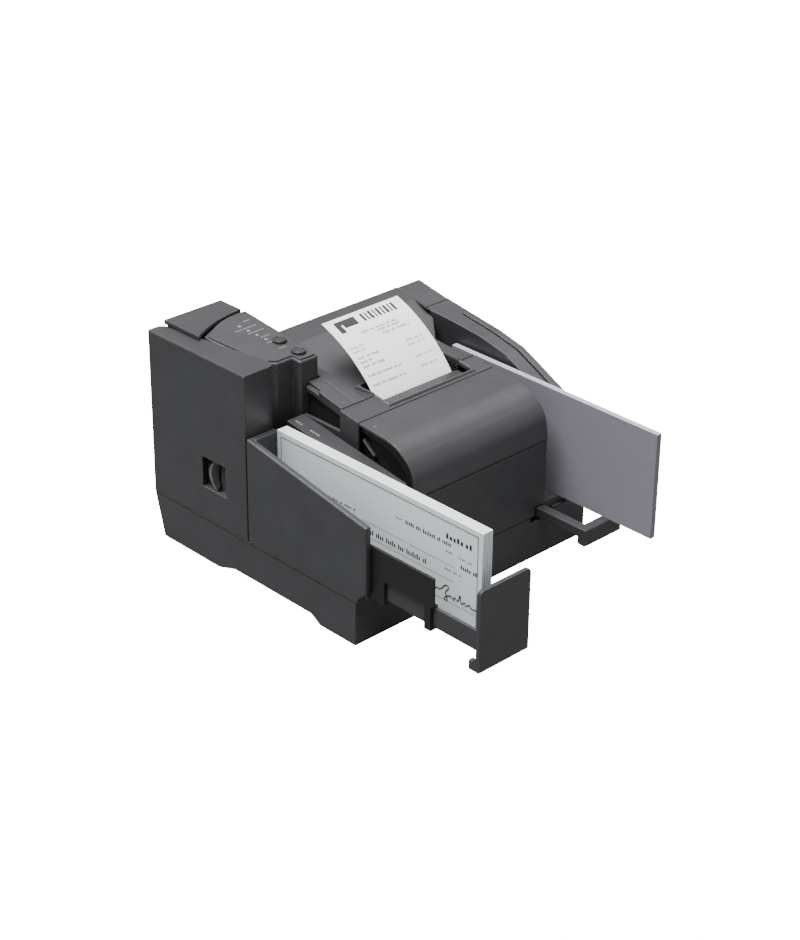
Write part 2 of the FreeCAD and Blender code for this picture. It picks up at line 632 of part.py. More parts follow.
def make_scanner_cover():
    body = new_body("scanner_cover_body")
    low = s.base_height + s.seam
    pad(body, "XY", cover_outline(zero), low, s.cover_top)
    round_edges(body, s.edge_round, lambda a, b: (
        near(a.z, s.cover_top) and near(b.z, s.cover_top) and near(a.x, zero) and near(b.x, zero)))
    pocket(body, "XY", [
        (s.wall, s.tower_front + s.wall), (s.cover_bulge + s.wall, s.tower_front + s.wall),
        (s.cover_bulge + s.wall, s.depth - s.wall), (s.wall, s.depth - s.wall)],
        low + s.wall, s.cover_top - s.wall)
    pad(body, "YZ", [
        (s.cup_front - s.thin_wall, s.cup_low - s.thin_wall), (s.cup_rear + s.thin_wall, s.cup_low - s.thin_wall),
        (s.cup_rear + s.thin_wall, s.cup_high + s.thin_wall), (s.cup_front - s.thin_wall, s.cup_high + s.thin_wall)],
        s.wall / 2, s.cup_depth)
    pocket(body, "XY", [
        (-s.overrun, s.cup_front), (s.cup_depth - s.thin_wall, s.lever_front - s.lever_travel),
        (s.cup_depth - s.thin_wall, s.cup_rear), (-s.overrun, s.cup_rear)], s.cup_low, s.cup_high)
    middle = (s.cup_low + s.cup_high) / 2
    pocket(body, "YZ", [
        (s.lever_front, middle - s.stem_tall / 2 - s.slack),
        (s.lever_front + s.stem_long + s.lever_travel + s.wall, middle - s.stem_tall / 2 - s.slack),
        (s.lever_front + s.stem_long + s.lever_travel + s.wall, middle + s.stem_tall / 2 + s.slack),
        (s.lever_front, middle + s.stem_tall / 2 + s.slack)], zero, s.cup_depth + s.overrun)
    bore = rod("cover_hinge_bore", "z", (s.cover_axis_x, s.cover_axis_y, low - s.overrun),
               s.hinge_pin + s.fit, s.cover_top - s.wall / 2 - low)
    return finish(cut("scanner_cover_cut", body, [bore]), "scanner_cover")


def liner_strip(name, outer_shift, inner_shift, front, rear, low, high):
    """Upright strip along the path side of the cover, between two depths."""
    body = new_body(name)
    pad(body, "XY", [
        (cover_edge(front) + outer_shift, front), (cover_edge(rear) + outer_shift, rear),
        (cover_edge(rear) + inner_shift, rear), (cover_edge(front) + inner_shift, front)], low, high)
    return body


def make_cover_liner():
    low = s.base_height + s.seam + s.wall
    high = s.cover_top - s.wall
    strip = liner_strip("liner_body", -s.liner, zero, s.bulge_y + s.wall, s.waist_y, low, high)
    window = solid_block("sensor_window", (zero, s.window_front, s.window_low),
                         (s.width / 2, s.window_front + s.chip, s.window_high))
    return finish(cut("liner_cut", strip, [window]), "cover_liner")


def make_front_sensor():
    strip = liner_strip("front_sensor_body", -s.chip, -s.slack, s.window_front + s.slack,
                        s.window_front + s.chip - s.slack, s.window_low + s.slack, s.window_high - s.slack)
    return finish(strip, "front_image_sensor")


def make_rear_sensor():
    strip = liner_strip("rear_sensor_body", s.path_gap, s.path_gap + s.cup_depth, s.window_front + s.slack,
                        s.window_front + s.chip - s.slack, s.base_height, s.window_high - s.slack)
    return finish(strip, "rear_image_sensor")


def make_ink_head():
    low = s.base_height + s.seam + s.wall
    front = s.window_front + s.chip + s.wall
    strip = liner_strip("ink_head_body", -s.cup_depth, -s.liner, front, front + s.chip, low,
                        low + s.head_tall)
    return finish(strip, "magnetic_ink_head")


def make_lever():
    body = new_body("lever_body")
    low = s.cup_low + s.slack
    high = s.cup_high - s.slack
    middle = (low + high) / 2
    pad(body, "YZ", [
        (s.lever_front + s.slack, low), ("arc", s.lever_rear, middle), (s.lever_front + s.slack, high),
        ("arc", s.lever_front + s.stem_long, middle)],
        s.thin_wall, s.thin_wall + s.lever_thick)
    stem_front = s.lever_front + s.slack + s.lever_travel
    stem = solid_block("lever_stem", (s.thin_wall + s.lever_thick / 2, stem_front, middle - s.stem_tall / 2),
                       (s.cup_depth + s.slack + s.lever_thick, stem_front + s.stem_long - s.lever_travel,
                        middle + s.stem_tall / 2))
    hook = solid_block("lever_hook", (s.cup_depth + s.slack, stem_front, middle - s.hook_long),
                       (s.cup_depth + s.slack + s.lever_thick, stem_front + s.stem_long - s.lever_travel,
                        middle + s.hook_long))
    return finish(fuse("lever_parts", [body, stem, hook]), "cover_lever")


def casing_outline(inset):
    """Plan of the casing: a flared mouth at the front left, two columns, a round rear along the lid."""
    front = s.casing_front + inset
    mouth = s.casing_mouth_y + inset
    return [
        (s.casing_left + inset, front), (s.casing_step_x + inset, front),
        (s.casing_step_x + inset, s.casing_step + inset), (s.casing_right - inset, s.casing_step + inset),
        (s.casing_right - inset, s.casing_rear - inset),
        ("arc", s.lid_mid_x, s.lid_front_mid - s.lid_gap - inset),
        (s.casing_turn_x + inset, s.casing_rear_left - inset * 2),
        (casing_edge(s.waist_y) + inset, s.waist_y - inset), (casing_edge(mouth) + inset, mouth)]


def casing_line(y):
    return slope(y, (s.casing_step, s.casing_low), (s.casing_rear, s.casing_high))


def slab_profile(low_shift, high_shift):
    """Side view of a layer under the sloping top of the casing."""
    front = s.casing_step - s.wall
    rear = s.casing_rear + s.wall
    return [(front, casing_line(front) + low_shift), (rear, casing_line(rear) + low_shift),
            (rear, casing_line(rear) + high_shift), (front, casing_line(front) + high_shift)]


def make_tower_casing():
    outer = new_body("casing_outer")
    pad(outer, "XY", casing_outline(zero), s.base_height, s.lid_top + s.wall)
    round_edges(outer, s.casing_round, lambda a, b: (
        upright(a, b) and a.y < s.casing_front.value + s.fit.value
        and not (near(a.x, s.casing_step_x) and near(a.y, s.casing_front))))
    pocket(outer, "YZ", slab_profile(zero, s.lid_top), zero, s.width)
    round_edges(outer, s.edge_round, lambda a, b: (
        a.z > casing_line(s.casing_step).value - s.fit.value
        and b.z > casing_line(s.casing_step).value - s.fit.value
        and not (near(a.x, b.x) and near(a.y, b.y))))
    inner = new_body("casing_inner")
    pad(inner, "XY", casing_outline(s.thin_wall), s.base_height - s.overrun, s.lid_top + s.wall)
    pocket(inner, "YZ", slab_profile(-s.wall, s.lid_top), zero, s.width)
    windows = [
        solid_block("sensor_opening", (zero, s.window_front, s.base_height - s.overrun),
                    (casing_edge(s.window_front) + 2 * s.wall, s.window_front + s.chip, s.window_high)),
        solid_block("inlet_opening", (zero, s.inlet_y - s.inlet_radius - s.slack, s.inlet_low - s.slack),
                    (s.inlet_x, s.inlet_y + s.inlet_radius + s.slack, s.inlet_high + s.slack))]
    button_bores = []
    for x, y in ((s.button_front_x, s.button_front_y), (s.button_rear_x, s.button_rear_y)):
        button_bores.append(rod("hub_bore", "z", (x, y, s.base_height), s.button_hub + s.fit, s.cover_top))
        button_bores.append(rod("cap_seat", "z", (x, y, casing_line(y) - s.wall / 2),
                                s.button_radius + s.slack, s.button_tall))
    return finish(cut("casing_cut", outer, [inner] + windows + button_bores), "tower_casing")


def make_control_panel():
    plan = new_body("panel_plan")
    pad(plan, "XY", casing_outline(s.panel_inset), s.base_height, s.lid_top + s.wall)
    round_edges(plan, s.panel_inset, upright)
    slab = new_body("panel_slab")
    pad(slab, "YZ", slab_profile(zero, s.panel_sheet), zero, s.casing_right)
    plate = common("panel_plate", [plan, slab])
    bores = []
    for x, y in ((s.button_front_x, s.button_front_y), (s.button_rear_x, s.button_rear_y)):
        bores.append(rod("button_bore", "z", (x, y, s.base_height), s.button_radius + s.slack, s.cover_top))
    for index in range(LAMPS):
        x = s.lamp_x - index * s.lamp / 2
        y = s.lamp_y + index * s.lamp_pitch
        bores.append(solid_block("lamp_window", (x - s.fit, y - s.fit, s.base_height),
                                 (x + s.lamp + s.fit, y + s.lamp + s.fit, s.lid_top + s.wall)))
    return finish(cut("panel_cut", plate, bores), "control_panel")


def make_lamps():
    lamps = []
    for index in range(LAMPS):
        x = s.lamp_x - index * s.lamp / 2
        y = s.lamp_y + index * s.lamp_pitch
        lens = new_body("lamp_body")
        pad(lens, "YZ", [
            (y, casing_line(y)), (y + s.lamp, casing_line(y + s.lamp)),
            (y + s.lamp, casing_line(y + s.lamp) + s.panel_sheet), (y, casing_line(y) + s.panel_sheet)],
            x, x + s.lamp)
        lamps.append(lens)
    return finish(group("lamp_group", lamps), "indicator_lights")


def make_button(name, x, y):
    top = casing_line(y) + s.panel_sheet + s.thin_wall
    cap = rod(name + "_cap", "z", (x, y, top - s.button_tall / 2), s.button_radius, s.button_tall / 2)
    hub = rod(name + "_hub", "z", (x, y, top - 3 * s.button_tall), s.button_hub, 3 * s.button_tall)
    return finish(fuse(name + "_parts", [cap, hub]), name)


# rear of the machine: housing, cartridge bay, lid, document guide

def make_rear_housing():
    body = new_body("rear_housing_body")
    pad(body, "XY", box_outline(s.lid_right, s.rear_front, s.width, s.depth), s.base_height, s.rear_top)
    round_edges(body, s.edge_round, lambda a, b: (
        near(a.y, s.depth) and near(b.y, s.depth) and near(a.z, s.rear_top) and near(b.z, s.rear_top)))
    pad(body, "XY", box_outline(s.rear_left, s.bay_front, s.lid_right, s.depth - s.slack), s.base_height, s.bay_top)
    pocket(body, "XY", box_outline(s.lid_right - s.overrun, s.rear_front - s.overrun, s.roll_inner_left,
                                   s.bay_front), s.base_height - s.overrun, sky)
    inside = solid_block("housing_inside", (s.rear_left + s.wall, s.rear_front + s.wall, s.base_height - s.overrun),
                         (s.width - s.wall, s.depth - s.wall, s.rear_top - s.wall))
    bay = solid_block("bay_inside", (s.rear_left + s.wall, s.bay_front + s.wall, s.base_height - s.overrun),
                      (s.lid_right - s.wall, s.depth - s.slack - s.wall, sky))
    left_mouth = solid_block(
        "left_mouth", (s.rear_left - s.overrun, s.bay_front + s.wall, s.base_height + s.wall),
        (s.rear_left + s.wall + s.overrun, s.depth - s.wall, s.guide_high))
    right_mouth = solid_block(
        "right_mouth", (s.side_mouth_x - s.wall, s.rear_front - s.overrun, s.base_height + s.wall),
        (s.side_left + s.wall, s.rear_front + s.wall + s.overrun, s.guide_high - s.wall))
    hollow = cut("housing_cut", body, [inside, bay, left_mouth, right_mouth])
    lugs = []
    for left in lid_lug_places:
        lugs.append(solid_block("lid_lug", (left, s.lid_axis_y - s.wall, s.bay_top - s.lug_tall),
                                (left + s.lug, s.lid_axis_y + s.thin_wall, s.lid_axis_z + s.wall)))
    for left in (s.knuckle_left + s.seam, s.knuckle_right + s.seam):
        lug = new_body("roll_lug")
        pad(lug, "YZ", [
            (s.roll_axis_y - s.small_pin, s.roll_axis_z - s.barrel),
            (s.roll_axis_y + s.small_pin, s.roll_axis_z + s.barrel - s.slack),
            (s.roll_axis_y - s.small_pin * 2, s.roll_axis_z + s.barrel - s.slack),
            (s.roll_axis_y - s.barrel, s.roll_axis_z - s.slack),
            (s.roll_axis_y - s.barrel, s.roll_axis_z - s.lug_leg),
            (s.rear_front + s.wall, s.roll_axis_z - s.lug_leg),
            (s.rear_front + s.wall, s.roll_axis_z - s.barrel - s.slack),
            (s.roll_axis_y + s.small_pin, s.roll_axis_z - s.barrel - s.slack)],
            left, left + s.knuckle - 2 * s.seam)
        lugs.append(lug)
    shelf = solid_block("cartridge_shelf", (s.rear_left, s.bay_front, s.cartridge_low - s.wall),
                        (s.lid_right, s.depth - s.wall, s.cartridge_low - s.fit))
    seat_gap = s.wall - s.slack
    seat = solid_block("cartridge_seat", (cartridge_left + seat_gap, cartridge_rear - s.cartridge_deep + seat_gap,
                                          s.cartridge_low - s.wall - s.overrun),
                       (cartridge_left + s.cartridge_wide - seat_gap, cartridge_rear - seat_gap, s.cartridge_low))
    solid = fuse("housing_with_lugs", [hollow, shelf] + lugs)
    bores = [
        seat,
        rod("lid_lug_bore", "x", (zero, s.lid_axis_y, s.lid_axis_z), s.small_pin + s.fit, s.lid_right),
        rod("roll_lug_bore", "x", (s.roll_inner_left, s.roll_axis_y, s.roll_axis_z), s.hinge_pin + s.fit,
            s.roll_right)]
    return finish(cut("rear_housing_cut", solid, bores), "rear_housing")


def make_guide():
    """One bent strip that leads a cheque round the rear from the left path to the right one."""
    body = new_body("guide_body")
    left = s.rear_left + 2 * s.wall + s.guide_turn * GUIDE_START_SHARE
    right = s.side_left - s.path_gap
    rear = s.guide_rear
    turn = s.guide_turn
    end = rear - turn * GUIDE_END_SHARE
    corner = turn * BEND_SHARE
    inner_corner = s.guide_sheet + (turn - s.guide_sheet) * BEND_SHARE
    pad(body, "XY", [
        (left, rear), (right - turn, rear), ("arc", right - corner, rear - corner), (right, end),
        (right - s.guide_sheet, end), ("arc", right - inner_corner, rear - inner_corner),
        (right - turn, rear - s.guide_sheet), (left, rear - s.guide_sheet)],
        s.base_height, s.guide_high - s.wall - s.thin_wall)
    return finish(body, "document_guide")


def lid_plan(inset):
    return [
        (s.lid_left + inset, s.lid_front_left + inset * 2), ("arc", s.lid_mid_x, s.lid_front_mid + inset),
        (s.lid_right - inset, s.lid_front_right + inset), (s.lid_right - inset, s.lid_rear - inset),
        (s.lid_left + inset, s.lid_rear - inset)]


def make_lid():
    slab = new_body("lid_slab")
    pad(slab, "XY", lid_plan(zero), s.lid_seat, s.lid_top)
    round_edges(slab, s.thin_wall / 2, lambda a, b: near(a.z, s.lid_top) and near(b.z, s.lid_top))
    skirt = solid_block("lid_skirt", (s.rear_left, s.bay_front, s.lid_skirt),
                        (s.lid_right, s.lid_rear, s.lid_seat))
    inside = solid_block("lid_inside", (s.rear_left + s.thin_wall, s.bay_front + s.thin_wall,
                                        s.lid_skirt - s.overrun),
                         (s.lid_right - s.thin_wall, s.lid_rear - s.thin_wall, s.lid_top - s.thin_wall))
    holes = [rod("lid_bore", "x", (zero, s.lid_axis_y, s.lid_axis_z), s.small_pin + s.fit, s.casing_right)]
    for left in lid_lug_places:
        holes.append(solid_block("lid_lug_slot", (left - s.slack, s.lid_axis_y, s.lid_skirt - s.overrun),
                                 (left + s.lug + s.slack, s.lid_rear + s.overrun, s.lid_slot)))
    return finish(cut("lid_cut", fuse("lid_parts", [slab, skirt]), [inside] + holes), "cartridge_lid")


def make_cartridge():
    left = cartridge_left
    rear = cartridge_rear
    case = solid_block("cartridge_case", (left, rear - s.cartridge_deep, s.cartridge_low),
                       (left + s.cartridge_wide, rear, s.cartridge_low + s.cartridge_tall))
    nose = solid_block("cartridge_nose", (left + s.wall, rear - s.cartridge_deep + s.wall, s.cartridge_low - s.wall),
                       (left + s.cartridge_wide - s.wall, rear - s.wall, s.cartridge_low))
    grip = solid_block("cartridge_grip",
                       (left + s.cartridge_wide / 3, rear - s.cartridge_deep / 2 - s.wall / 2,
                        s.cartridge_low + s.cartridge_tall),
                       (left + 2 * s.cartridge_wide / 3, rear - s.cartridge_deep / 2 + s.wall / 2,
                        s.cartridge_low + s.cartridge_tall + s.lug))
    return finish(fuse("cartridge_parts", [case, nose, grip]), "ink_cartridge")


# feeder on the left front

def make_feeder_housing():
    wall_body = new_body("pocket_wall")
    pad(wall_body, "YZ", [
        (-s.pocket_front, s.pocket_nose_low), (-s.pocket_cut_y, s.pocket_cut_z),
        (-s.pocket_cut_y, s.base_height),
        (s.pocket_rear, s.base_height), (s.pocket_rear, s.pocket_rear_high),
        (-s.pocket_front, s.pocket_nose_high)],
        zero, s.pocket_wall)
    round_edges(wall_body, s.edge_round, lambda a, b: (
        (near(a.x, zero) and near(b.x, zero) and min(a.z, b.z) > s.pocket_nose_high.value - s.fit.value
         and not near(a.z, b.z))
        or (near(a.x, zero) and near(b.x, zero) and near(a.y, -s.pocket_front) and near(b.y, -s.pocket_front))))
    rear_wall = solid_block("pocket_rear_wall", (s.pocket_wall, s.pocket_rear - s.pocket_rear_wall, s.base_height),
                            (s.pocket_rear_right, s.pocket_rear, s.pocket_rear_high))
    floor = solid_block("pocket_floor", (s.pocket_wall, -s.pocket_cut_y, s.base_height),
                        (s.inner_left - s.seam, s.pocket_rear, s.base_height + s.floor_sheet))
    lip = solid_block("pocket_floor_lip", (s.strip_left, -s.pocket_front, s.base_height),
                      (s.inner_left - s.seam, -s.pocket_cut_y, s.base_height + s.floor_sheet))
    ribs = []
    for low in (s.channel_high + s.slack, s.channel_low - s.slack - s.guide_rib):
        ribs.append(solid_block("channel_rib", (s.pocket_wall, -s.pocket_cut_y, low),
                                (s.pocket_wall + s.guide_rib_out, s.pocket_rear - s.pocket_rear_wall,
                                 low + s.guide_rib)))
    post = solid_block("pusher_post", (s.pocket_wall + s.guide_rib_out + s.wall, s.pusher_rear - s.slack,
                                       s.base_height + s.floor_sheet),
                       (s.pusher_left + s.pusher_thick, s.pocket_rear - s.pocket_rear_wall, s.pusher_low - s.slack))
    return finish(fuse("feeder_parts", [wall_body, rear_wall, floor, lip, post] + ribs), "feeder_housing")


def inner_plan(inset):
    return [
        (s.inner_left + inset, s.inner_front + inset), (s.inner_tip - inset, s.inner_front + inset),
        (s.inner_right - inset, s.pocket_rear - inset), (s.inner_left + inset, s.pocket_rear - inset)]


def make_inner_wall():
    outer = new_body("inner_wall_outer")
    pad(outer, "XY", inner_plan(zero), s.base_height, s.inner_high)
    front = (s.inner_front - s.overrun, s.inner_low)
    rear = (s.pocket_rear + s.overrun, s.inner_high)
    pocket(outer, "YZ", [front, rear, (rear[0], sky), (front[0], sky)], zero, s.printer_left)
    inner = new_body("inner_wall_hollow")
    pad(inner, "XY", [
        (s.inner_left + s.thin_wall, s.pusher_front), (slope_x(s.pusher_front) - s.thin_wall, s.pusher_front),
        (s.inner_right - s.thin_wall, s.pocket_rear - s.thin_wall),
        (s.inner_left + s.thin_wall, s.pocket_rear - s.thin_wall)],
        s.base_height - s.overrun, s.pick_high + s.shaft_over + s.wall)
    window = solid_block("pick_window", (s.inner_left - s.overrun, s.pick_y - s.pick_radius - s.slack,
                                         s.pick_low - s.slack),
                         (s.pick_x, s.pick_y + s.pick_radius + s.slack, s.pick_high + s.slack))
    return finish(cut("inner_wall_cut", outer, [inner, window]), "feeder_inner_wall")


def slope_x(y):
    """Right side of the inner wall at the depth y."""
    share = (length(y) - s.inner_front) / (s.pocket_rear - s.inner_front)
    return s.inner_tip + (s.inner_right - s.inner_tip) * share


def make_pusher():
    plate = solid_block("pusher_plate", (s.pusher_left, s.pusher_front, s.pusher_low),
                        (s.pusher_left + s.pusher_thick, s.pusher_rear - s.slack, s.pusher_high))
    barrel = rod("pusher_barrel", "z", (s.pusher_left, s.pusher_rear - s.slack, s.pusher_low), s.pusher_thick,
                 s.pusher_high - s.pusher_low)
    return finish(fuse("pusher_parts", [plate, barrel]), "stack_pusher")


def make_waiting():
    body = new_body("waiting_body")
    pad(body, "XY", box_outline(s.waiting_left, s.waiting_rear - s.cheque_long, waiting_right, s.waiting_rear),
        s.cheque_rise, s.cheque_rise + s.cheque_tall)
    return finish(body, "waiting_cheques")


def make_finished():
    body = new_body("finished_body")
    pad(body, "XY", box_outline(s.finished_left, s.finished_rear - s.cheque_long,
                                s.finished_left + s.finished_thick, s.finished_rear),
        s.finished_rise, s.finished_rise + s.cheque_tall)
    return finish(body, "finished_cheques")


def make_channel():
    body = new_body("channel_body")
    wall_low = s.rail_high + s.slack
    pad(body, "YZ", [
        (-s.channel_front, s.channel_high), (-s.channel_front, wall_low), (-s.clip_front, wall_low),
        (-s.clip_front, s.channel_low), (-s.clip_rear, s.channel_low), (-s.clip_rear, wall_low),
        (-s.window_reach, wall_low), (-s.window_reach, s.channel_low), (s.channel_inside, s.channel_low),
        (s.channel_inside, s.channel_high)], s.channel_left, s.channel_left + s.channel_sheet)
    inner = s.rail_left + s.rail_sheet + s.slack
    under = solid_block("clip_under", (s.channel_left, -s.clip_front, s.channel_low),
                        (inner + s.thin_wall, -s.clip_rear, s.rail_low - s.slack))
    finger = solid_block("clip_finger", (inner, -s.clip_front, s.channel_low),
                         (inner + s.thin_wall, -s.clip_rear, s.rail_low + s.wall))
    ledge = solid_block("channel_ledge", (s.channel_left, -s.window_reach, s.channel_low),
                        (inner, s.channel_inside, s.rail_low - s.slack))
    brow = solid_block("channel_brow", (s.channel_left, -s.channel_front, s.rail_high + s.slack),
                       (inner, s.channel_inside, s.rail_high + s.slack + s.thin_wall))
    return finish(fuse("channel_parts", [body, under, finger, ledge, brow]), "tray_channel")


def make_end_stop():
    plate = new_body("stop_plate")
    front = s.tray_reach
    rear = s.tray_reach - s.stop_sheet
    pad(plate, "XZ", [
        (zero, s.stop_low), (s.stop_wide, s.stop_low), (s.stop_wide, s.stop_high), (zero, s.stop_high)],
        -front, -rear)
    round_edges(plate, s.stop_round, lambda a, b: (
        near(a.z, s.stop_high) and near(b.z, s.stop_high) and near(a.x, b.x)))
    rail = solid_block("stop_rail", (s.rail_left, -rear, s.rail_low),
                       (s.rail_left + s.rail_sheet, -s.rail_inside, s.rail_high))
    strip = solid_block("stop_strip", (s.strip_left, -rear, s.stop_low + s.slack),
                        (s.strip_right, -s.strip_inside, s.stop_low + s.slack + s.strip_sheet))
    foot = new_body("stop_foot")
    pad(foot, "YZ", [
        (-rear, s.stop_low), (-front + s.stop_foot, s.stop_low),
        (-front + s.stop_foot, s.stop_low + s.stop_foot_tall),
        (-rear + s.stop_round, s.stop_low + s.stop_foot_tall),
        (-rear, s.stop_low + s.stop_foot_tall + s.stop_round)], zero, s.stop_foot_wide)
    return finish(fuse("stop_parts", [plate, rail, strip, foot]), "tray_end_stop")


# exit side on the right

def make_exit_arm():
    low = s.arm_top - s.arm_tall
    bar = solid_block("arm_side", (s.arm_left, -s.arm_reach, low),
                      (s.arm_left + s.arm_wide, s.arm_inside, s.arm_top))
    front = new_body("arm_front")
    pad(front, "YZ", [
        (-s.arm_reach, s.arm_top - s.arm_leg), (-s.arm_reach + s.arm_bar, s.arm_top - s.arm_leg),
        (-s.arm_reach + s.arm_bar, s.arm_top), (-s.arm_reach, s.arm_top)], s.arm_left, s.arm_right)
    round_edges(front, s.edge_round, lambda a, b: near(a.y, -s.arm_reach) and near(b.y, -s.arm_reach)
                and (near(a.z, s.arm_top) and near(b.z, s.arm_top) or near(a.x, b.x)))
    return finish(fuse("arm_parts", [bar, front]), "exit_arm")


def floor_plan(inset):
    right = s.exit_right - inset
    throat = s.side_mouth_x - s.seam - inset
    return [
        (s.exit_left + inset, s.exit_front + inset), (right, s.exit_front + inset), (right, s.side_waist_y),
        (throat, s.side_throat_y), (throat, s.exit_rear - inset), (s.exit_left + inset, s.exit_rear - inset)]


def make_exit_floor():
    plate = new_body("exit_plate")
    pad(plate, "XY", floor_plan(zero), s.base_height, s.exit_top)
    pocket(plate, "XY", floor_plan(s.thin_wall), s.base_height - s.overrun, s.exit_top - s.thin_wall)
    bore = rod("exit_floor_bore", "z", (s.exit_x, s.exit_y, s.base_height), s.shaft_radius + s.fit, s.exit_top)
    return finish(cut("exit_floor_cut", plate, [bore]), "exit_floor")


def side_profile(inset):
    top = [
        (s.side_front + inset, s.side_nose - inset), (s.side_brow_y + inset, s.side_brow - inset),
        (s.side_knee_y, s.side_knee - inset), (s.side_hip_y, s.side_hip - inset),
        (s.side_bend_y, s.side_bend - inset), (s.side_waist_y, s.side_waist - inset),
        (s.side_rear_y, s.side_rear - inset)]
    return top


def make_right_wall():
    body = new_body("side_body")
    pad(body, "YZ", [(s.side_front, s.base_height)] + side_profile(zero) + [
        (s.side_rear_y, s.shelf_top), (s.rear_front - s.slack, s.shelf_top),
        (s.rear_front - s.slack, s.base_height)], s.side_mouth_x, s.width)
    pocket(body, "XY", [
        (s.side_mouth_x - s.overrun, zero), (s.side_left, zero), (s.side_left, s.side_waist_y),
        ("arc", s.side_left - s.wall / 2, s.side_throat_y), (s.side_mouth_x, s.side_rear_y - s.wall),
        (s.side_mouth_x - s.overrun, s.side_rear_y - s.wall)],
        s.base_height - s.overrun, sky)
    pocket(body, "YZ", [
        (s.side_rear_y - s.wall, s.base_height - s.overrun), (s.side_rear_y - s.wall, s.guide_high - s.wall),
        (s.rear_front, s.guide_high - s.wall), (s.rear_front, s.base_height - s.overrun)],
        s.side_mouth_x - s.overrun, s.side_left)
    pocket(body, "YZ", [(s.side_knee_y, s.side_knee - s.groove_drop)] + [
        (y, z - s.groove_drop) for y, z in side_profile(zero)[3:6]] + [
        (s.groove_rear, slope(s.groove_rear, side_profile(zero)[5], side_profile(zero)[6]) - s.groove_drop),
        (s.groove_rear, sky), (zero, sky), (zero, s.side_nose - s.groove_drop)],
        s.groove_left, s.groove_left + s.groove_wide)
    pocket(body, "YZ", [
        (s.side_front + s.wall, s.base_height - s.overrun)] + [
        (y, z - s.groove_drop - s.wall) for y, z in side_profile(s.wall)[:6]] + [
        (s.rear_front - s.slack - s.wall, s.side_waist - s.groove_drop - s.wall),
        (s.rear_front - s.slack - s.wall, s.base_height - s.overrun)],
        s.side_left + s.wall, s.width - s.wall)
    head_seat = solid_block("head_seat", (s.side_left + s.wall, s.head_y - s.slack, s.head_z - 2 * s.head_tall),
                            (s.groove_left + s.slack, s.head_y + s.head_long + s.slack,
                             s.head_z + s.head_tall + s.slack))
    lugs = [solid_block("access_lug", (left, s.access_axis_y - s.thin_wall, s.shelf_top - s.wall),
                        (left + s.lug, s.access_axis_y + s.thin_wall, s.access_axis_z + s.access_crown))
            for left in access_lug_places]
    bore = rod("access_lug_bore", "x", (s.side_mouth_x, s.access_axis_y, s.access_axis_z),
               s.small_pin + s.fit, s.width)
    solid = fuse("right_wall_solid", [body] + lugs)
    return finish(cut("right_wall_cut", solid, [head_seat, bore]), "right_wall")


def make_read_head():
    head = solid_block("head_case", (s.side_left + s.wall + s.slack, s.head_y, s.head_z),
                       (s.groove_left, s.head_y + s.head_long, s.head_z + s.head_tall))
    return finish(fuse("head_parts", [head, rod(
        "head_nose", "z", (s.groove_left, s.head_y + s.head_long / 2, s.head_z + s.head_tall / 3),
        s.groove_wide / 3, s.head_tall / 3)]), "card_read_head")


def make_access_cover():
    body = new_body("access_body")
    front = s.side_rear_y + s.seam
    pad(body, "YZ", [
        (front, s.access_skirt), (front, s.side_rear), (s.access_rear, s.access_top),
        (s.access_rear, s.access_skirt)], s.side_mouth_x, s.width)
    round_edges(body, s.thin_wall / 2, lambda a, b: (
        min(a.z, b.z) > s.side_rear.value - s.fit.value))
    pocket(body, "YZ", [
        (front + s.thin_wall, s.access_skirt - s.overrun), (front + s.thin_wall, s.side_rear - s.thin_wall),
        (s.access_rear - s.thin_wall, s.access_top - s.thin_wall),
        (s.access_rear - s.thin_wall, s.access_skirt - s.overrun)],
        s.side_mouth_x + s.thin_wall, s.width - s.thin_wall)
    holes = [rod("access_bore", "x", (s.side_mouth_x - s.overrun, s.access_axis_y, s.access_axis_z),
                 s.small_pin + s.fit, s.width)]
    for left in access_lug_places:
        holes.append(solid_block("access_lug_slot", (left - s.slack, s.access_axis_y, s.access_skirt - s.overrun),
                                 (left + s.lug + s.slack, s.access_rear + s.overrun, s.access_slot)))
    return finish(cut("access_cut", body, holes), "access_cover")


# receipt printer in the middle

def make_printer_housing():
    body = new_body("printer_housing_body")
    left, right = s.printer_left, s.printer_right
    pad(body, "XY", box_outline(left, zero, right, s.housing_rear), s.base_height, s.side_wall_top)
    pocket(body, "YZ", [
        (-s.overrun, s.front_top), (s.wall, s.front_top), (s.strip_front, s.strip_leg - s.seam),
        (s.strip_rear, s.strip_leg - s.seam), (s.strip_rear, s.side_wall_top + s.overrun),
        (-s.overrun, s.side_wall_top + s.overrun)], left - s.overrun, right + s.overrun)
    pocket(body, "XY", box_outline(left + s.wall, s.wall, right - s.wall, s.housing_rear + s.overrun),
           s.base_height - s.overrun, s.side_wall_top + s.overrun)
    pocket(body, "XY", box_outline(left - s.overrun, s.lobe_rear, s.roll_inner_left, s.housing_rear + s.overrun),
           s.base_height - s.overrun, s.side_wall_top + s.overrun)
    round_edges(body, s.edge_round, lambda a, b: (
        upright(a, b) and near(a.y, zero)))
    pocket(body, "XY", box_outline(s.arm_left - s.wall, -s.overrun, right + s.overrun, s.trough_length),
           s.base_height - s.overrun, s.notch_top)
    return finish(body, "printer_housing")


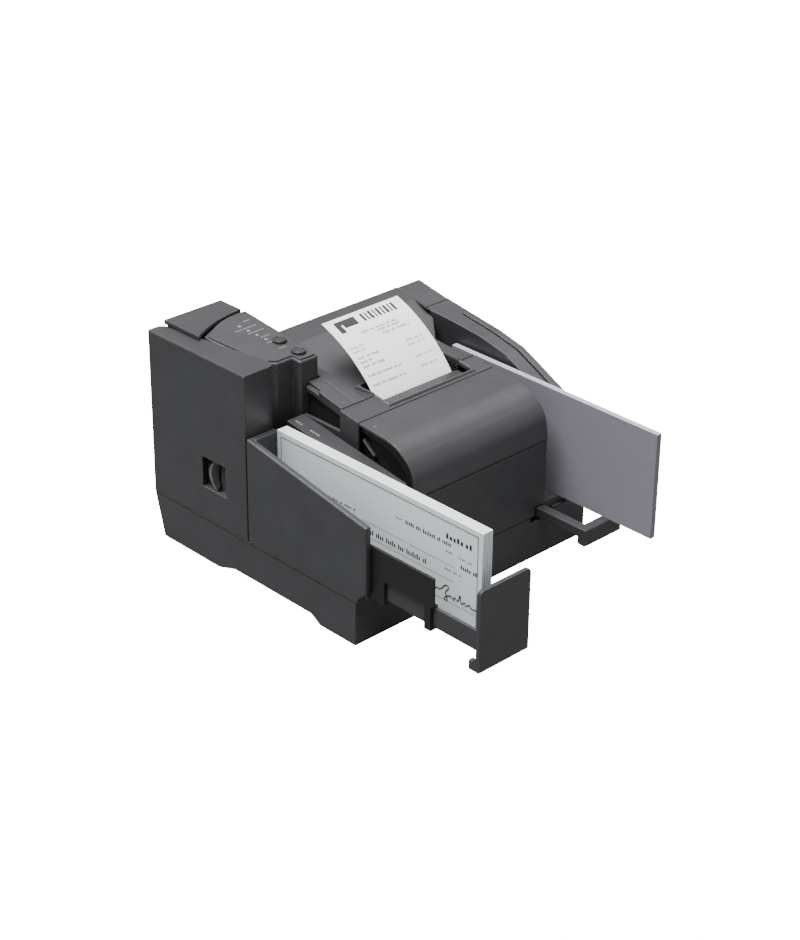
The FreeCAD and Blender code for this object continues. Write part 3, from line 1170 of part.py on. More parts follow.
def make_printer_chassis():
    """Dark inner frame: two side plates, bridges between them, and shelves for the head and the motor."""
    low = s.notch_top + s.wall
    plates = []
    for left, rear in ((s.frame_left, s.lobe_rear), (s.frame_right - s.frame_sheet, s.frame_rear)):
        plate = new_body("frame_plate")
        pad(plate, "YZ", [
            (s.frame_front, low), (rear, low), (rear, s.frame_top), (s.frame_step_y, s.frame_top),
            (s.frame_front, s.front_top)], left, left + s.frame_sheet)
        plates.append(plate)
    carrier = new_body("lobe_carrier")
    pad(carrier, "YZ", roll_side(s.roll_front, s.lobe_rear, s.frame_top - s.wall, s.lobe_thick),
        s.frame_left, s.frame_left + s.frame_sheet)
    plates.append(carrier)
    plates += [
        solid_block("front_bridge", (s.frame_left, s.frame_front, low),
                    (s.frame_right, s.frame_front + s.frame_sheet, s.front_top - s.wall)),
        solid_block("rear_bridge", (s.roll_inner_left, s.frame_rear - s.frame_sheet, s.notch_top),
                    (s.frame_right, s.frame_rear, s.front_top)),
        solid_block("frame_deck", (s.frame_left, s.trough_length + s.foot_radius, s.notch_top),
                    (s.frame_right, s.lobe_rear, low)),
        solid_block("rear_deck", (s.roll_inner_left, s.lobe_rear, s.notch_top),
                    (s.frame_right, s.frame_rear, low)),
        solid_block("head_foot", (s.frame_left, s.head_front - s.wall, low),
                    (s.frame_right, s.head_front, s.front_top - s.wall)),
        solid_block("motor_shelf", (s.gear_x - s.thin_wall - s.motor_long, s.platen_y - s.motor_radius,
                                    motor_z - s.motor_radius - s.wall),
                    (s.frame_right - s.frame_sheet, s.platen_y + s.motor_radius * SHELF_SHARE,
                     motor_z - s.motor_radius))]
    for left in (s.head_left, s.head_right - s.wall):
        plates.append(solid_block("head_bracket", (left, s.head_front - s.wall, low),
                                  (left + s.wall, s.head_front, s.head_high - s.wall)))
    for left in (s.roll_inner_left, s.frame_right - s.foot_radius):
        for front in (s.trough_length + s.foot_radius, s.frame_rear - s.foot_radius):
            plates.append(solid_block("frame_leg", (left, front, s.base_height),
                                      (left + s.foot_radius, front + s.foot_radius, low)))
    return finish(fuse("chassis_parts", plates), "printer_chassis")


def make_front_cover():
    body = new_body("front_cover_body")
    rear_low = s.cover_rear_z - s.lug_tall
    pad(body, "YZ", [(s.cover_rear, rear_low), (s.cover_rear, s.cover_rear_z),
                     (s.cover_shoulder_y, s.cover_shoulder),
                     ("arc", s.cover_bend_y, s.cover_bend), (s.cover_brow_y, s.cover_brow),
                     ("arc", s.cover_cheek_y, s.cover_cheek), (s.cover_lip_y, s.cover_lip),
                     (zero, s.front_axis_z), (zero, s.front_seam), (s.cover_sheet + s.wall, s.front_seam),
                     (s.cover_sheet + s.wall * 2, s.front_axis_z + s.lug_tall),
                     (s.cover_shoulder_y - s.wall, rear_low - s.lug_tall)],
        s.printer_left, s.printer_right)
    hollow = new_body("front_cover_hollow")
    sheet_in = s.cover_sheet
    pad(hollow, "YZ", [
        (s.cover_rear + s.overrun, rear_low - s.lug_tall * 2),
        (s.cover_rear + s.overrun, s.cover_rear_z - sheet_in),
        (s.cover_shoulder_y, s.cover_shoulder - sheet_in),
        ("arc", s.cover_bend_y + sheet_in * BROW_SHARE, s.cover_bend - sheet_in * BROW_SHARE),
        (s.cover_brow_y + sheet_in * BROW_SHARE, s.cover_brow - sheet_in * BROW_SHARE),
        ("arc", s.cover_cheek_y + sheet_in * BROW_SHARE, s.cover_cheek - sheet_in * BROW_SHARE),
        (s.cover_lip_y + sheet_in, s.cover_lip), (sheet_in, s.front_axis_z + s.wall),
        (sheet_in + s.wall, s.front_axis_z + s.wall), (sheet_in + s.wall, s.front_axis_z - s.lug_tall),
        ], s.printer_left - s.overrun, s.printer_right - s.thin_wall)
    bore = rod("front_cover_bore", "x", (s.printer_left, s.front_axis_y, s.front_axis_z),
               s.pin_of_front + s.fit, s.printer_right)
    return finish(cut("front_cover_cut", body, [hollow, bore]), "front_cover")


def make_frame_strip():
    body = new_body("frame_strip_body")
    line = ((s.strip_front, s.strip_front_top), (s.strip_rear, s.strip_rear_top))
    pad(body, "YZ", [
        (s.strip_front, s.strip_leg), (s.strip_rear, s.strip_leg), (s.strip_rear, s.strip_rear_top),
        (s.strip_front, s.strip_front_top)], s.printer_left, s.printer_right)
    rim_front = s.slot_front - s.rim
    pad(body, "YZ", [
        (rim_front, slope(rim_front, *line) - s.wall), (s.strip_rear, s.strip_rear_top - s.wall),
        (s.strip_rear, s.strip_rear_top + s.rim_tall), (rim_front, slope(rim_front, *line) + s.rim_tall)],
        s.slot_left - s.rim, s.slot_right + s.rim)
    pocket(body, "XY", box_outline(s.slot_left, s.slot_front, s.slot_right, s.strip_rear + s.overrun),
           s.strip_leg, sky)
    pocket(body, "YZ", [
        (s.strip_front - s.overrun, s.strip_leg - s.overrun), (s.strip_rear + s.overrun, s.strip_leg - s.overrun),
        (s.strip_rear + s.overrun, s.strip_rear_top - s.wall),
        (s.strip_front - s.overrun, s.strip_front_top - s.wall)],
        s.printer_left + s.wall, s.printer_right - s.wall)
    return finish(group("strip_and_lobe", [body, make_lobe()]), "frame_strip")


def make_tear_bar():
    blade = solid_block("tear_blade", (s.slot_left + s.slack, s.slot_front + s.slack, s.tear_top - s.tear_sheet),
                        (s.head_right + s.wall, s.tear_rear - s.tooth, s.tear_top))
    teeth = new_body("tear_teeth")
    count = TEETH
    points = [(s.paper_left, s.tear_rear - s.tooth - s.thin_wall)]
    for index in range(count):
        left = s.paper_left + s.paper_wide * index / count
        points.append((left, s.tear_rear - s.tooth))
        points.append((left + s.paper_wide / count / 2, s.tear_rear))
    points.append((s.paper_left + s.paper_wide, s.tear_rear - s.tooth))
    points.append((s.paper_left + s.paper_wide, s.tear_rear - s.tooth - s.thin_wall))
    pad(teeth, "XY", points, s.tear_top - s.tear_sheet, s.tear_top)
    return finish(fuse("tear_parts", [blade, teeth]), "tear_bar")


def make_thermal_head():
    plate = solid_block("head_plate", (s.head_left, s.head_front, s.head_low),
                        (s.head_right, s.head_front + s.head_sheet, s.head_high))
    fins = []
    for index in range(FINS):
        low = s.head_low + s.thin_wall + index * s.head_sheet
        fins.append(solid_block("head_fin", (s.head_left, s.head_front - s.thin_wall, low),
                                (s.head_right, s.head_front, low + s.thin_wall)))
    brackets = [solid_block("bracket_room", (left - s.slack, s.head_front - s.wall - s.slack, s.head_low - s.wall),
                            (left + s.wall + s.slack, s.head_front, s.head_high + s.wall))
                for left in (s.head_left, s.head_right - s.wall)]
    return finish(cut("thermal_head_cut", fuse("thermal_parts", [plate] + fins), brackets), "thermal_head")


def roll_top(y):
    """Height of the roll cover's top at the depth y."""
    if length(y).value < s.lobe_rear.value:
        return slope(y, (s.roll_front, s.roll_front_top), (s.lobe_rear, s.lobe_top))
    return slope(y, (s.lobe_rear, s.lobe_top), (s.ridge_y, s.ridge))


def roll_side(front, rear, low, drop):
    """Side outline under the bent top, from front to rear, lowered by drop."""
    outline = [(front, low), (front, roll_top(front) - drop)]
    if front.value < s.lobe_rear.value < rear.value:
        outline.append((s.lobe_rear, s.lobe_top - drop))
    return outline + [(rear, roll_top(rear) - drop), (rear, low)]


def make_lobe():
    """Fixed plate left of the roll cover, on the left frame plate, with a step in its rear left edge."""
    cap = new_body("lobe_cap")
    pad(cap, "YZ", [
        (s.roll_front, s.roll_front_top - s.lobe_thick), (s.lobe_rear, s.lobe_top - s.lobe_thick),
        (s.lobe_rear, s.lobe_top), (s.roll_front, s.roll_front_top)], s.roll_left, s.roll_inner_left - s.fit)
    rear = s.lobe_rear + s.overrun
    pocket(cap, "YZ", [
        (s.lobe_notch_y, roll_top(s.lobe_notch_y) - s.lobe_notch), (rear, roll_top(rear) - s.lobe_notch),
        (rear, sky), (s.lobe_notch_y, sky)], s.roll_left - s.overrun, s.roll_left + s.lobe_notch)
    return cap


def make_roll_shell():
    shell = new_body("roll_shell")
    pad(shell, "YZ", roll_side(s.roll_front, s.ridge_y, s.roll_skirt, zero), s.roll_inner_left, s.roll_right)
    pocket(shell, "XY", [
        (s.roll_waist, s.roll_front - s.overrun), (s.roll_right + s.overrun, s.roll_front - s.overrun),
        (s.roll_right + s.overrun, s.roll_hip_y), (s.roll_right, s.roll_hip_y), (s.roll_waist, s.roll_waist_y)],
        s.roll_skirt - s.overrun, sky)
    inside_low = s.roll_skirt - s.overrun
    rear = s.ridge_y - s.wall
    pocket(shell, "YZ", roll_side(s.roll_front + s.wall, rear, inside_low, s.wall),
           s.roll_inner_left + s.wall, s.roll_waist - s.wall)
    pocket(shell, "YZ", roll_side(s.roll_hip_y + s.wall, rear, inside_low, s.wall),
           s.roll_waist - s.wall - s.overrun, s.roll_right - s.wall)
    return shell


def make_scoop(side, front, left, right):
    """Round hollow across the cover (side zero) or the floor skin that lies under it."""
    reach = rod("scoop_rod", "x", (left, s.scoop_y, s.scoop_low + s.scoop_radius), s.scoop_radius + side,
                right - left)
    room = new_body("scoop_room")
    high = sky - s.scoop_low if side is zero else zero
    pad(room, "YZ", roll_side(front, s.ridge_y - s.lug_tall, s.scoop_low - side, -high), left, right)
    return common("scoop_part", [reach, room])


def make_roll_cover():
    floors = [make_scoop(s.wall, s.roll_front, s.scoop_left - s.wall, s.roll_waist),
              make_scoop(s.wall, s.roll_hip_y, s.roll_waist - s.wall, s.roll_right)]
    shell = fuse("roll_shell_and_floor", [make_roll_shell()] + floors)
    hollow = make_scoop(zero, s.roll_front, s.scoop_left, s.roll_right)
    rim = new_body("roll_rim")
    pad(rim, "XY", box_outline(s.slot_left - s.rim, s.roll_front, s.slot_right + s.rim, s.slot_rear + s.rim),
        s.scoop_low - s.wall, s.scoop_low + s.wall)
    parts = [cut("scooped_cover", shell, [hollow]), rim]
    for left, right in ((s.roll_inner_left + s.wall, s.knuckle_left),
                        (s.knuckle_left + s.knuckle, s.knuckle_right),
                        (s.knuckle_right + s.knuckle, s.roll_right - s.wall)):
        parts.append(rod("roll_barrel", "x", (left, s.roll_axis_y, s.roll_axis_z), s.barrel, right - left))
        parts.append(solid_block("barrel_web", (left, s.roll_axis_y, s.roll_axis_z),
                                 (right, s.ridge_y, s.roll_axis_z + s.lug_tall)))
    for left in (s.roll_inner_left, s.frame_right - s.frame_sheet - s.seam - s.wall):
        parts.append(solid_block("platen_cheek", (left, s.cheek_front, s.platen_z - s.barrel),
                                 (left + s.wall, s.slot_rear + 2 * s.wall, s.scoop_low)))
    holes = [
        solid_block("roll_slot", (s.slot_left, s.roll_front - s.overrun, s.roll_skirt - s.wall),
                    (s.slot_right, s.slot_rear, sky)),
        rod("roll_pin_bore", "x", (s.roll_inner_left - s.overrun, s.roll_axis_y, s.roll_axis_z),
            s.hinge_pin + s.fit, s.roll_right),
        rod("platen_bore", "x", (s.roll_left, s.platen_y, s.platen_z), s.platen_shaft_radius + s.fit, s.roll_right)]
    for left in (s.knuckle_left, s.knuckle_right):
        holes.append(solid_block("knuckle_gap", (left, s.roll_axis_y, s.roll_skirt - s.overrun),
                                 (left + s.knuckle, s.ridge_y + s.overrun, s.roll_axis_z + s.barrel)))
    return finish(cut("roll_cover_cut", fuse("roll_cover_solid", parts), holes), "roll_cover")


def make_platen():
    left = s.roll_inner_left
    right = s.frame_right - s.frame_sheet - s.seam
    shaft = rod("platen_rod", "x", (left, s.platen_y, s.platen_z), s.platen_shaft_radius, right - left)
    finish(group("platen_rod_group", [shaft]), "platen_shaft")
    sleeve = rod("platen_sleeve", "x", (s.paper_left, s.platen_y, s.platen_z), s.platen_radius, s.paper_wide)
    hole = rod("platen_hole", "x", (s.paper_left - s.overrun, s.platen_y, s.platen_z), s.platen_shaft_radius,
               s.paper_wide + 2 * s.overrun)
    finish(cut("platen_rubber_cut", sleeve, [hole]), "platen_rubber")


def make_gear(name, y, z, radius, teeth, phase, bore):
    """Spur gear on an X axis: straight-sided teeth round a disc."""
    body = doc.addObject("Part::Feature", name + "_blank")
    step = 2 * math.pi / teeth
    outer = (radius + s.tooth_tall / 2).value
    root = (radius - s.tooth_tall * TOOTH_DEPTH_SHARE).value
    middle = radius.value
    points = []
    for index in range(teeth):
        base = index * step + phase * step
        for reach, share in ((root, -TOOTH_ROOT_SHARE), (middle, -TOOTH_SHARE), (outer, -TOOTH_TIP_SHARE),
                             (outer, TOOTH_TIP_SHARE), (middle, TOOTH_SHARE), (root, TOOTH_ROOT_SHARE)):
            angle = base + share * step
            points.append(Vector(s.gear_x.value, y.value + reach * math.cos(angle),
                                 z.value + reach * math.sin(angle)))
    points.append(points[0])
    blank = Part.Face(Part.makePolygon(points)).extrude(Vector(s.gear_thick.value, 0, 0))
    hole = Part.makeCylinder(length(bore).value, (s.gear_thick * 2).value,
                             Vector((s.gear_x - s.overrun).value, y.value, z.value), Vector(1, 0, 0))
    body.Shape = blank.cut(hole)
    return body


def gear_centres():
    return (s.platen_y, s.platen_z), (s.platen_y, motor_z)


def make_gears():
    (wheel_y, wheel_z), (pinion_y, pinion_z) = gear_centres()
    towards = math.atan2((pinion_z - wheel_z).value, (pinion_y - wheel_y).value)
    wheel_phase = towards / (2 * math.pi) * GEAR_TEETH
    pinion_phase = (towards + math.pi) / (2 * math.pi) * PINION_TEETH + HALF_TOOTH_SHARE
    finish(make_gear("platen_gear", wheel_y, wheel_z, s.gear_radius, GEAR_TEETH, wheel_phase,
                     s.platen_shaft_radius), "platen_gear")
    pinion = make_gear("motor_pinion", pinion_y, pinion_z, s.pinion_radius, PINION_TEETH, pinion_phase,
                       s.thin_wall)
    axle = rod("pinion_axle", "x", (s.gear_x - s.motor_long / 3, pinion_y, pinion_z), s.thin_wall,
               s.motor_long / 3 + s.gear_thick)
    finish(fuse("pinion_parts", [pinion, axle]), "motor_pinion")
    right = s.gear_x - s.thin_wall
    case = rod("print_motor_case", "x", (right - s.motor_long, pinion_y, pinion_z), s.motor_radius, s.motor_long)
    bore = rod("print_motor_bore", "x", (right - s.motor_long / 2, pinion_y, pinion_z), s.thin_wall + s.fit,
               s.motor_long)
    foot = solid_block("print_motor_foot", (right - s.motor_long, pinion_y - s.motor_radius / 2,
                                            pinion_z - s.motor_radius),
                       (right, pinion_y + s.motor_radius / 2, pinion_z))
    finish(cut("print_motor_cut", fuse("print_motor_parts", [case, foot]), [bore]), "print_motor")


def make_bucket():
    inner = s.roll_radius + s.bucket_gap
    left = s.paper_left - s.bucket_side - s.seam
    right = s.paper_left + s.paper_wide + s.bucket_side + s.seam
    outside = rod("bucket_outside", "x", (left, s.roll_y, s.roll_z), inner + s.bucket_sheet, right - left)
    keep = solid_block("bucket_keep", (left, s.roll_y - 2 * s.roll_radius, s.base_height),
                       (right, s.frame_rear - s.frame_sheet - s.slack, s.roll_z + s.foot_radius))
    inside = rod("bucket_inside", "x", (left + s.bucket_side, s.roll_y, s.roll_z), inner,
                 right - left - 2 * s.bucket_side)
    mouth = solid_block("bucket_mouth", (left + s.bucket_side, s.roll_y - inner, s.roll_z),
                        (right - s.bucket_side, s.roll_y + inner, s.ridge))
    feet = solid_block("bucket_foot", (left, s.roll_y - s.foot_radius, s.notch_top + s.wall),
                       (right, s.roll_y + s.foot_radius, s.roll_z - s.roll_radius))
    shape = common("bucket_body", [outside, keep])
    return finish(cut("bucket_cut", fuse("bucket_parts", [shape, feet]), [inside, mouth]), "paper_bucket")


def make_roll():
    roll = rod("roll_body", "x", (s.paper_left, s.roll_y, s.roll_z), s.roll_radius, s.paper_wide)
    hole = rod("roll_hole", "x", (s.paper_left - s.overrun, s.roll_y, s.roll_z), s.roll_core,
               s.paper_wide + 2 * s.overrun)
    finish(cut("roll_cut", roll, [hole]), "paper_roll")
    core = rod("core_body", "x", (s.paper_left, s.roll_y, s.roll_z), s.roll_core, s.paper_wide)
    core_hole = rod("core_hole", "x", (s.paper_left - s.overrun, s.roll_y, s.roll_z), s.roll_core - s.thin_wall,
                    s.paper_wide + 2 * s.overrun)
    finish(cut("core_cut", core, [core_hole]), "roll_core")


def make_receipt():
    body = new_body("receipt_body")
    pad(body, "YZ", [
        (s.strip_y, s.strip_z), ("arc", s.strip_mid_y, s.strip_mid_z), (s.strip_top_y, s.strip_top_z),
        (s.strip_top_y, s.strip_top_z - s.paper_sheet),
        ("arc", s.strip_mid_y + s.paper_sheet * PAPER_TURN_SHARE,
         s.strip_mid_z - s.paper_sheet * PAPER_TURN_SHARE),
        (s.strip_y + s.paper_sheet, s.strip_z)], s.paper_left, s.paper_left + s.paper_wide)
    return finish(body, "receipt_strip")


# document transport: three upright rollers and a motor on one belt

def make_shaft(name, x, y, high):
    parts = [rod(name + "_rod", "z", (x, y, s.shaft_low), s.shaft_radius, high + s.shaft_over - s.shaft_low)]
    parts += pulley_parts(name, x, y)
    return finish(fuse(name + "_parts", parts), name)


def pulley_parts(name, x, y):
    high = s.pulley_low + s.flange + s.pulley_tall
    return [
        rod(name + "_wheel", "z", (x, y, s.pulley_low), s.pulley_radius, s.pulley_tall + 2 * s.flange),
        rod(name + "_flange_low", "z", (x, y, s.pulley_low), s.flange_radius, s.flange),
        rod(name + "_flange_high", "z", (x, y, high), s.flange_radius, s.flange)]


def make_roller(name, x, y, radius, low, high):
    sleeve = rod(name + "_sleeve", "z", (x, y, low), radius, high - low)
    hole = rod(name + "_hole", "z", (x, y, low - s.overrun), s.shaft_radius, high - low + 2 * s.overrun)
    return finish(cut(name + "_cut", sleeve, [hole]), name)


def make_transport():
    for name, radius, low, high in (
            ("pick", s.pick_radius, s.pick_low, s.pick_high),
            ("inlet", s.inlet_radius, s.inlet_low, s.inlet_high),
            ("exit", s.exit_radius, s.exit_low, s.exit_high)):
        x, y = shafts[name]
        make_shaft(name + "_shaft", x, y, high)
        make_roller(name + "_roller", x, y, radius, low, high)


def make_feed_motor():
    half = s.feed_wide / 2
    case = new_body("feed_motor_body")
    pad(case, "XY", box_outline(s.feed_x - half, s.feed_y - half, s.feed_x + half, s.feed_y + half),
        plate_top, plate_top + s.feed_tall)
    round_edges(case, s.wall, upright)
    bore = rod("feed_motor_bore", "z", (s.feed_x, s.feed_y, plate_top + s.feed_tall / 2),
               s.shaft_radius + s.fit, s.feed_tall)
    finish(cut("feed_motor_cut", case, [bore]), "feed_motor")
    spindle_low = plate_top + s.feed_tall * SPINDLE_SHARE
    spindle = rod("motor_spindle", "z", (s.feed_x, s.feed_y, spindle_low), s.shaft_radius,
                  s.pulley_low + s.flange - spindle_low)
    finish(fuse("motor_pulley_parts", [spindle] + pulley_parts("motor", s.feed_x, s.feed_y)), "motor_pulley")


def make_belt():
    """Closed belt: the pulley centres joined by a polygon that is grown outwards with round corners."""
    low = s.pulley_low + s.flange + s.belt_gap
    high = s.pulley_low + s.flange + s.pulley_tall - s.belt_gap
    path = new_body("belt_path")
    centres = [shafts["pick"], (s.feed_x, s.feed_y), shafts["exit"], shafts["inlet"]]
    sketch = draw(path, "belt_line", "XY", centres, low)
    loops = []
    for name, reach in (("inside", s.pulley_radius + s.belt_gap),
                        ("outside", s.pulley_radius + s.belt_gap + s.belt_sheet)):
        ring = doc.addObject("Part::Offset2D", "belt_" + name)
        ring.Source = sketch
        bind(ring, "Value", reach)
        ring.Join = 0
        block = doc.addObject("Part::Extrusion", "belt_block_" + name)
        block.Base = ring
        block.DirMode = "Custom"
        block.Dir = Vector(0, 0, 1)
        bind(block, "LengthFwd", high - low)
        block.Solid = True
        loops.append(block)
    return finish(cut("belt_cut", loops[1], [loops[0]]), "drive_belt")


def make_hinge_pins():
    """Pins of every cover that turns: scanner cover, cartridge lid, roll cover, access cover, front cover."""
    low = deck_low
    pins = [
        rod("cover_pin", "z", (s.cover_axis_x, s.cover_axis_y, low), s.hinge_pin,
            s.cover_top - s.wall - s.seam - low),
        rod("lid_pin", "x", (s.rear_left + s.slack, s.lid_axis_y, s.lid_axis_z), s.small_pin,
            s.lid_right - s.rear_left - 2 * s.slack),
        rod("roll_pin", "x", (s.roll_inner_left + s.wall + s.seam, s.roll_axis_y, s.roll_axis_z), s.hinge_pin,
            s.roll_right - s.wall - s.seam - s.roll_inner_left - s.wall - s.seam),
        rod("access_pin", "x", (s.side_mouth_x + s.slack, s.access_axis_y, s.access_axis_z), s.small_pin,
            s.width - s.side_mouth_x - 2 * s.slack),
        rod("front_pin", "x", (s.printer_left + s.slack, s.front_axis_y, s.front_axis_z), s.pin_of_front,
            s.printer_right - s.printer_left - 2 * s.slack)]
    return finish(group("pin_group", pins), "hinge_pins")


# build every piece, check it and write it out

def main():
    make_base_shell()
    make_base_plate()
    make_feet()
    make_screws()
    make_board()
    make_sockets()
    make_rocker()
    make_scanner_cover()
    make_cover_liner()
    make_front_sensor()
    make_rear_sensor()
    make_ink_head()
    make_lever()
    make_tower_casing()
    make_control_panel()
    make_lamps()
    make_button("front_button", s.button_front_x, s.button_front_y)
    make_button("rear_button", s.button_rear_x, s.button_rear_y)
    make_rear_housing()
    make_guide()
    make_lid()
    make_cartridge()
    make_feeder_housing()
    make_inner_wall()
    make_pusher()
    make_waiting()
    make_finished()
    make_channel()
    make_end_stop()
    make_exit_arm()
    make_exit_floor()
    make_right_wall()
    make_read_head()
    make_access_cover()
    make_printer_housing()
    make_printer_chassis()
    make_front_cover()
    make_frame_strip()
    make_tear_bar()
    make_thermal_head()
    make_roll_cover()
    make_platen()
    make_gears()
    make_bucket()
    make_roll()
    make_receipt()
    make_transport()
    make_feed_motor()
    make_belt()
    make_hinge_pins()
    doc.recompute()
    for thing in doc.Objects:
        if "Invalid" in thing.State or "Error" in thing.State:
            raise RuntimeError(f"{thing.Label} failed: {thing.State}")
    os.makedirs("parts", exist_ok=True)
    for piece in finished_pieces:
        if piece.Shape.isNull() or not piece.Shape.isValid() or not piece.Shape.Solids:
            raise RuntimeError(f"{piece.Label} has no valid shape")
        piece.Shape.exportStep(f"parts/{piece.Label}.step")
    print(len(finished_pieces), "pieces")


main()
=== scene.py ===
import bmesh
import bpy
import json
import math
from mathutils import Matrix, Vector


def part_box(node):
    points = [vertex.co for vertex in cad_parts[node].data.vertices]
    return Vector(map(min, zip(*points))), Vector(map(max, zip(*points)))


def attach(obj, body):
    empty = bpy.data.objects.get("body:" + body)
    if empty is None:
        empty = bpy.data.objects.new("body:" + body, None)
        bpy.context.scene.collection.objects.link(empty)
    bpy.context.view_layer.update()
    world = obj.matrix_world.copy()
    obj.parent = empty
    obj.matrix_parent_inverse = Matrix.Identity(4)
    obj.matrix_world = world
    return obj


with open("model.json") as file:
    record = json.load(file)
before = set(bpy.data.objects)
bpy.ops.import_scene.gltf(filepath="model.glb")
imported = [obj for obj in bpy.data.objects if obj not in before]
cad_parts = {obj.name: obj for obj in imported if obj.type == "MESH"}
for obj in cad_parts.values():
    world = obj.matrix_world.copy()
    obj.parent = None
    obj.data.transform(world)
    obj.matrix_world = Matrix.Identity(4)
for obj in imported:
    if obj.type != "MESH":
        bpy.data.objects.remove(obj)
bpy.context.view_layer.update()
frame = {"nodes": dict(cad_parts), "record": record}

# Desktop cheque scanner with a receipt printer: materials, printed paper, fine trim, light and camera.
# The machine's own places are in millimetres, as in the part's source, and at() turns them into metres.

nodes = frame["nodes"]
MM = 0.001

# the frame's origin in the machine's own places, and how far flat marks stand off their face
ORIGIN_X = 124.5
ORIGIN_Y = 54.0
PROUD = 0.12


def at(x, y, z):
    """A point given in the machine's own millimetres."""
    return Vector(((x - ORIGIN_X) * MM, (y - ORIGIN_Y) * MM, z * MM))


# materials

def new_material(name):
    material = bpy.data.materials.new(name)
    material.use_nodes = True
    return material, material.node_tree


def link(tree, source, target):
    tree.links.new(source, target)


def noise(tree, scale, detail=4.0, roughness=0.6):
    place = tree.nodes.new("ShaderNodeTexCoord")
    cloud = tree.nodes.new("ShaderNodeTexNoise")
    cloud.inputs["Scale"].default_value = scale
    cloud.inputs["Detail"].default_value = detail
    cloud.inputs["Roughness"].default_value = roughness
    link(tree, place.outputs["Object"], cloud.inputs["Vector"])
    return cloud.outputs["Fac"]


def ramp(tree, factor, stops):
    node = tree.nodes.new("ShaderNodeValToRGB")
    link(tree, factor, node.inputs["Fac"])
    elements = node.color_ramp.elements
    while len(elements) < len(stops):
        elements.new(0.5)
    for element, (place, colour) in zip(elements, stops):
        element.position = place
        element.color = (*colour, 1)
    return node.outputs["Color"]


def spread(tree, factor, low, high):
    node = tree.nodes.new("ShaderNodeMapRange")
    node.inputs["To Min"].default_value = low
    node.inputs["To Max"].default_value = high
    link(tree, factor, node.inputs["Value"])
    return node.outputs["Result"]


def shade(colour, factor):
    return tuple(min(1, part * factor) for part in colour)


def rounded_normal(tree, radius, height, distance):
    """Normal with softened edges and a fine bump on top."""
    soft = tree.nodes.new("ShaderNodeBevel")
    soft.samples = 4
    soft.inputs["Radius"].default_value = radius
    bump = tree.nodes.new("ShaderNodeBump")
    bump.inputs["Strength"].default_value = 0.35
    bump.inputs["Distance"].default_value = distance
    link(tree, height, bump.inputs["Height"])
    link(tree, soft.outputs["Normal"], bump.inputs["Normal"])
    return bump.outputs["Normal"]


def edge_mask(tree, radius):
    """Mask of the painted edge highlight: bright near sharp edges, where the softened normal turns away from
    the true one.
    """
    soft = tree.nodes.new("ShaderNodeBevel")
    soft.samples = 4
    soft.inputs["Radius"].default_value = radius
    shape = tree.nodes.new("ShaderNodeNewGeometry")
    product = tree.nodes.new("ShaderNodeVectorMath")
    product.operation = "DOT_PRODUCT"
    link(tree, soft.outputs["Normal"], product.inputs[0])
    link(tree, shape.outputs["Normal"], product.inputs[1])
    mask = tree.nodes.new("ShaderNodeMapRange")
    mask.inputs["From Min"].default_value = 1.0
    mask.inputs["From Max"].default_value = 0.8
    link(tree, product.outputs["Value"], mask.inputs["Value"])
    return mask.outputs["Result"]


def moulded(name, colour, rough=0.5, grain=1500, distance=0.00004, edge=0.0007, patch=0.1, edge_highlight=1.6):
    """Fine-grained moulded plastic or rubber, with a painted highlight: its colour is paler along its sharp
    edges.
    """
    material, tree = new_material(name)
    shader = tree.nodes["Principled BSDF"]
    base = ramp(tree, noise(tree, 35), [(0.3, shade(colour, 1 - patch)), (0.7, shade(colour, 1 + patch))])
    fine = noise(tree, grain, 2)
    # painted highlight: along sharp edges the colour is blended towards the base colour brightened by this
    # factor
    if edge_highlight > 1:
        blend = tree.nodes.new("ShaderNodeMix")
        blend.data_type = "RGBA"
        link(tree, edge_mask(tree, edge), blend.inputs["Factor"])
        link(tree, base, blend.inputs["A"])
        blend.inputs["B"].default_value = (*shade(colour, edge_highlight), 1)
        base = blend.outputs["Result"]
    link(tree, base, shader.inputs["Base Color"])
    link(tree, spread(tree, fine, rough - 0.06, rough + 0.06), shader.inputs["Roughness"])
    link(tree, rounded_normal(tree, edge, fine, distance), shader.inputs["Normal"])
    return material


def metal(name, colour, rough=0.35):
    material, tree = new_material(name)
    shader = tree.nodes["Principled BSDF"]
    shader.inputs["Metallic"].default_value = 1
    streaks = noise(tree, 260, 6, 0.7)
    link(tree, ramp(tree, streaks, [(0.25, shade(colour, 0.85)), (0.75, shade(colour, 1.1))]),
         shader.inputs["Base Color"])
    link(tree, spread(tree, streaks, rough - 0.08, rough + 0.12), shader.inputs["Roughness"])
    link(tree, rounded_normal(tree, 0.0003, streaks, 0.00001), shader.inputs["Normal"])
    return material


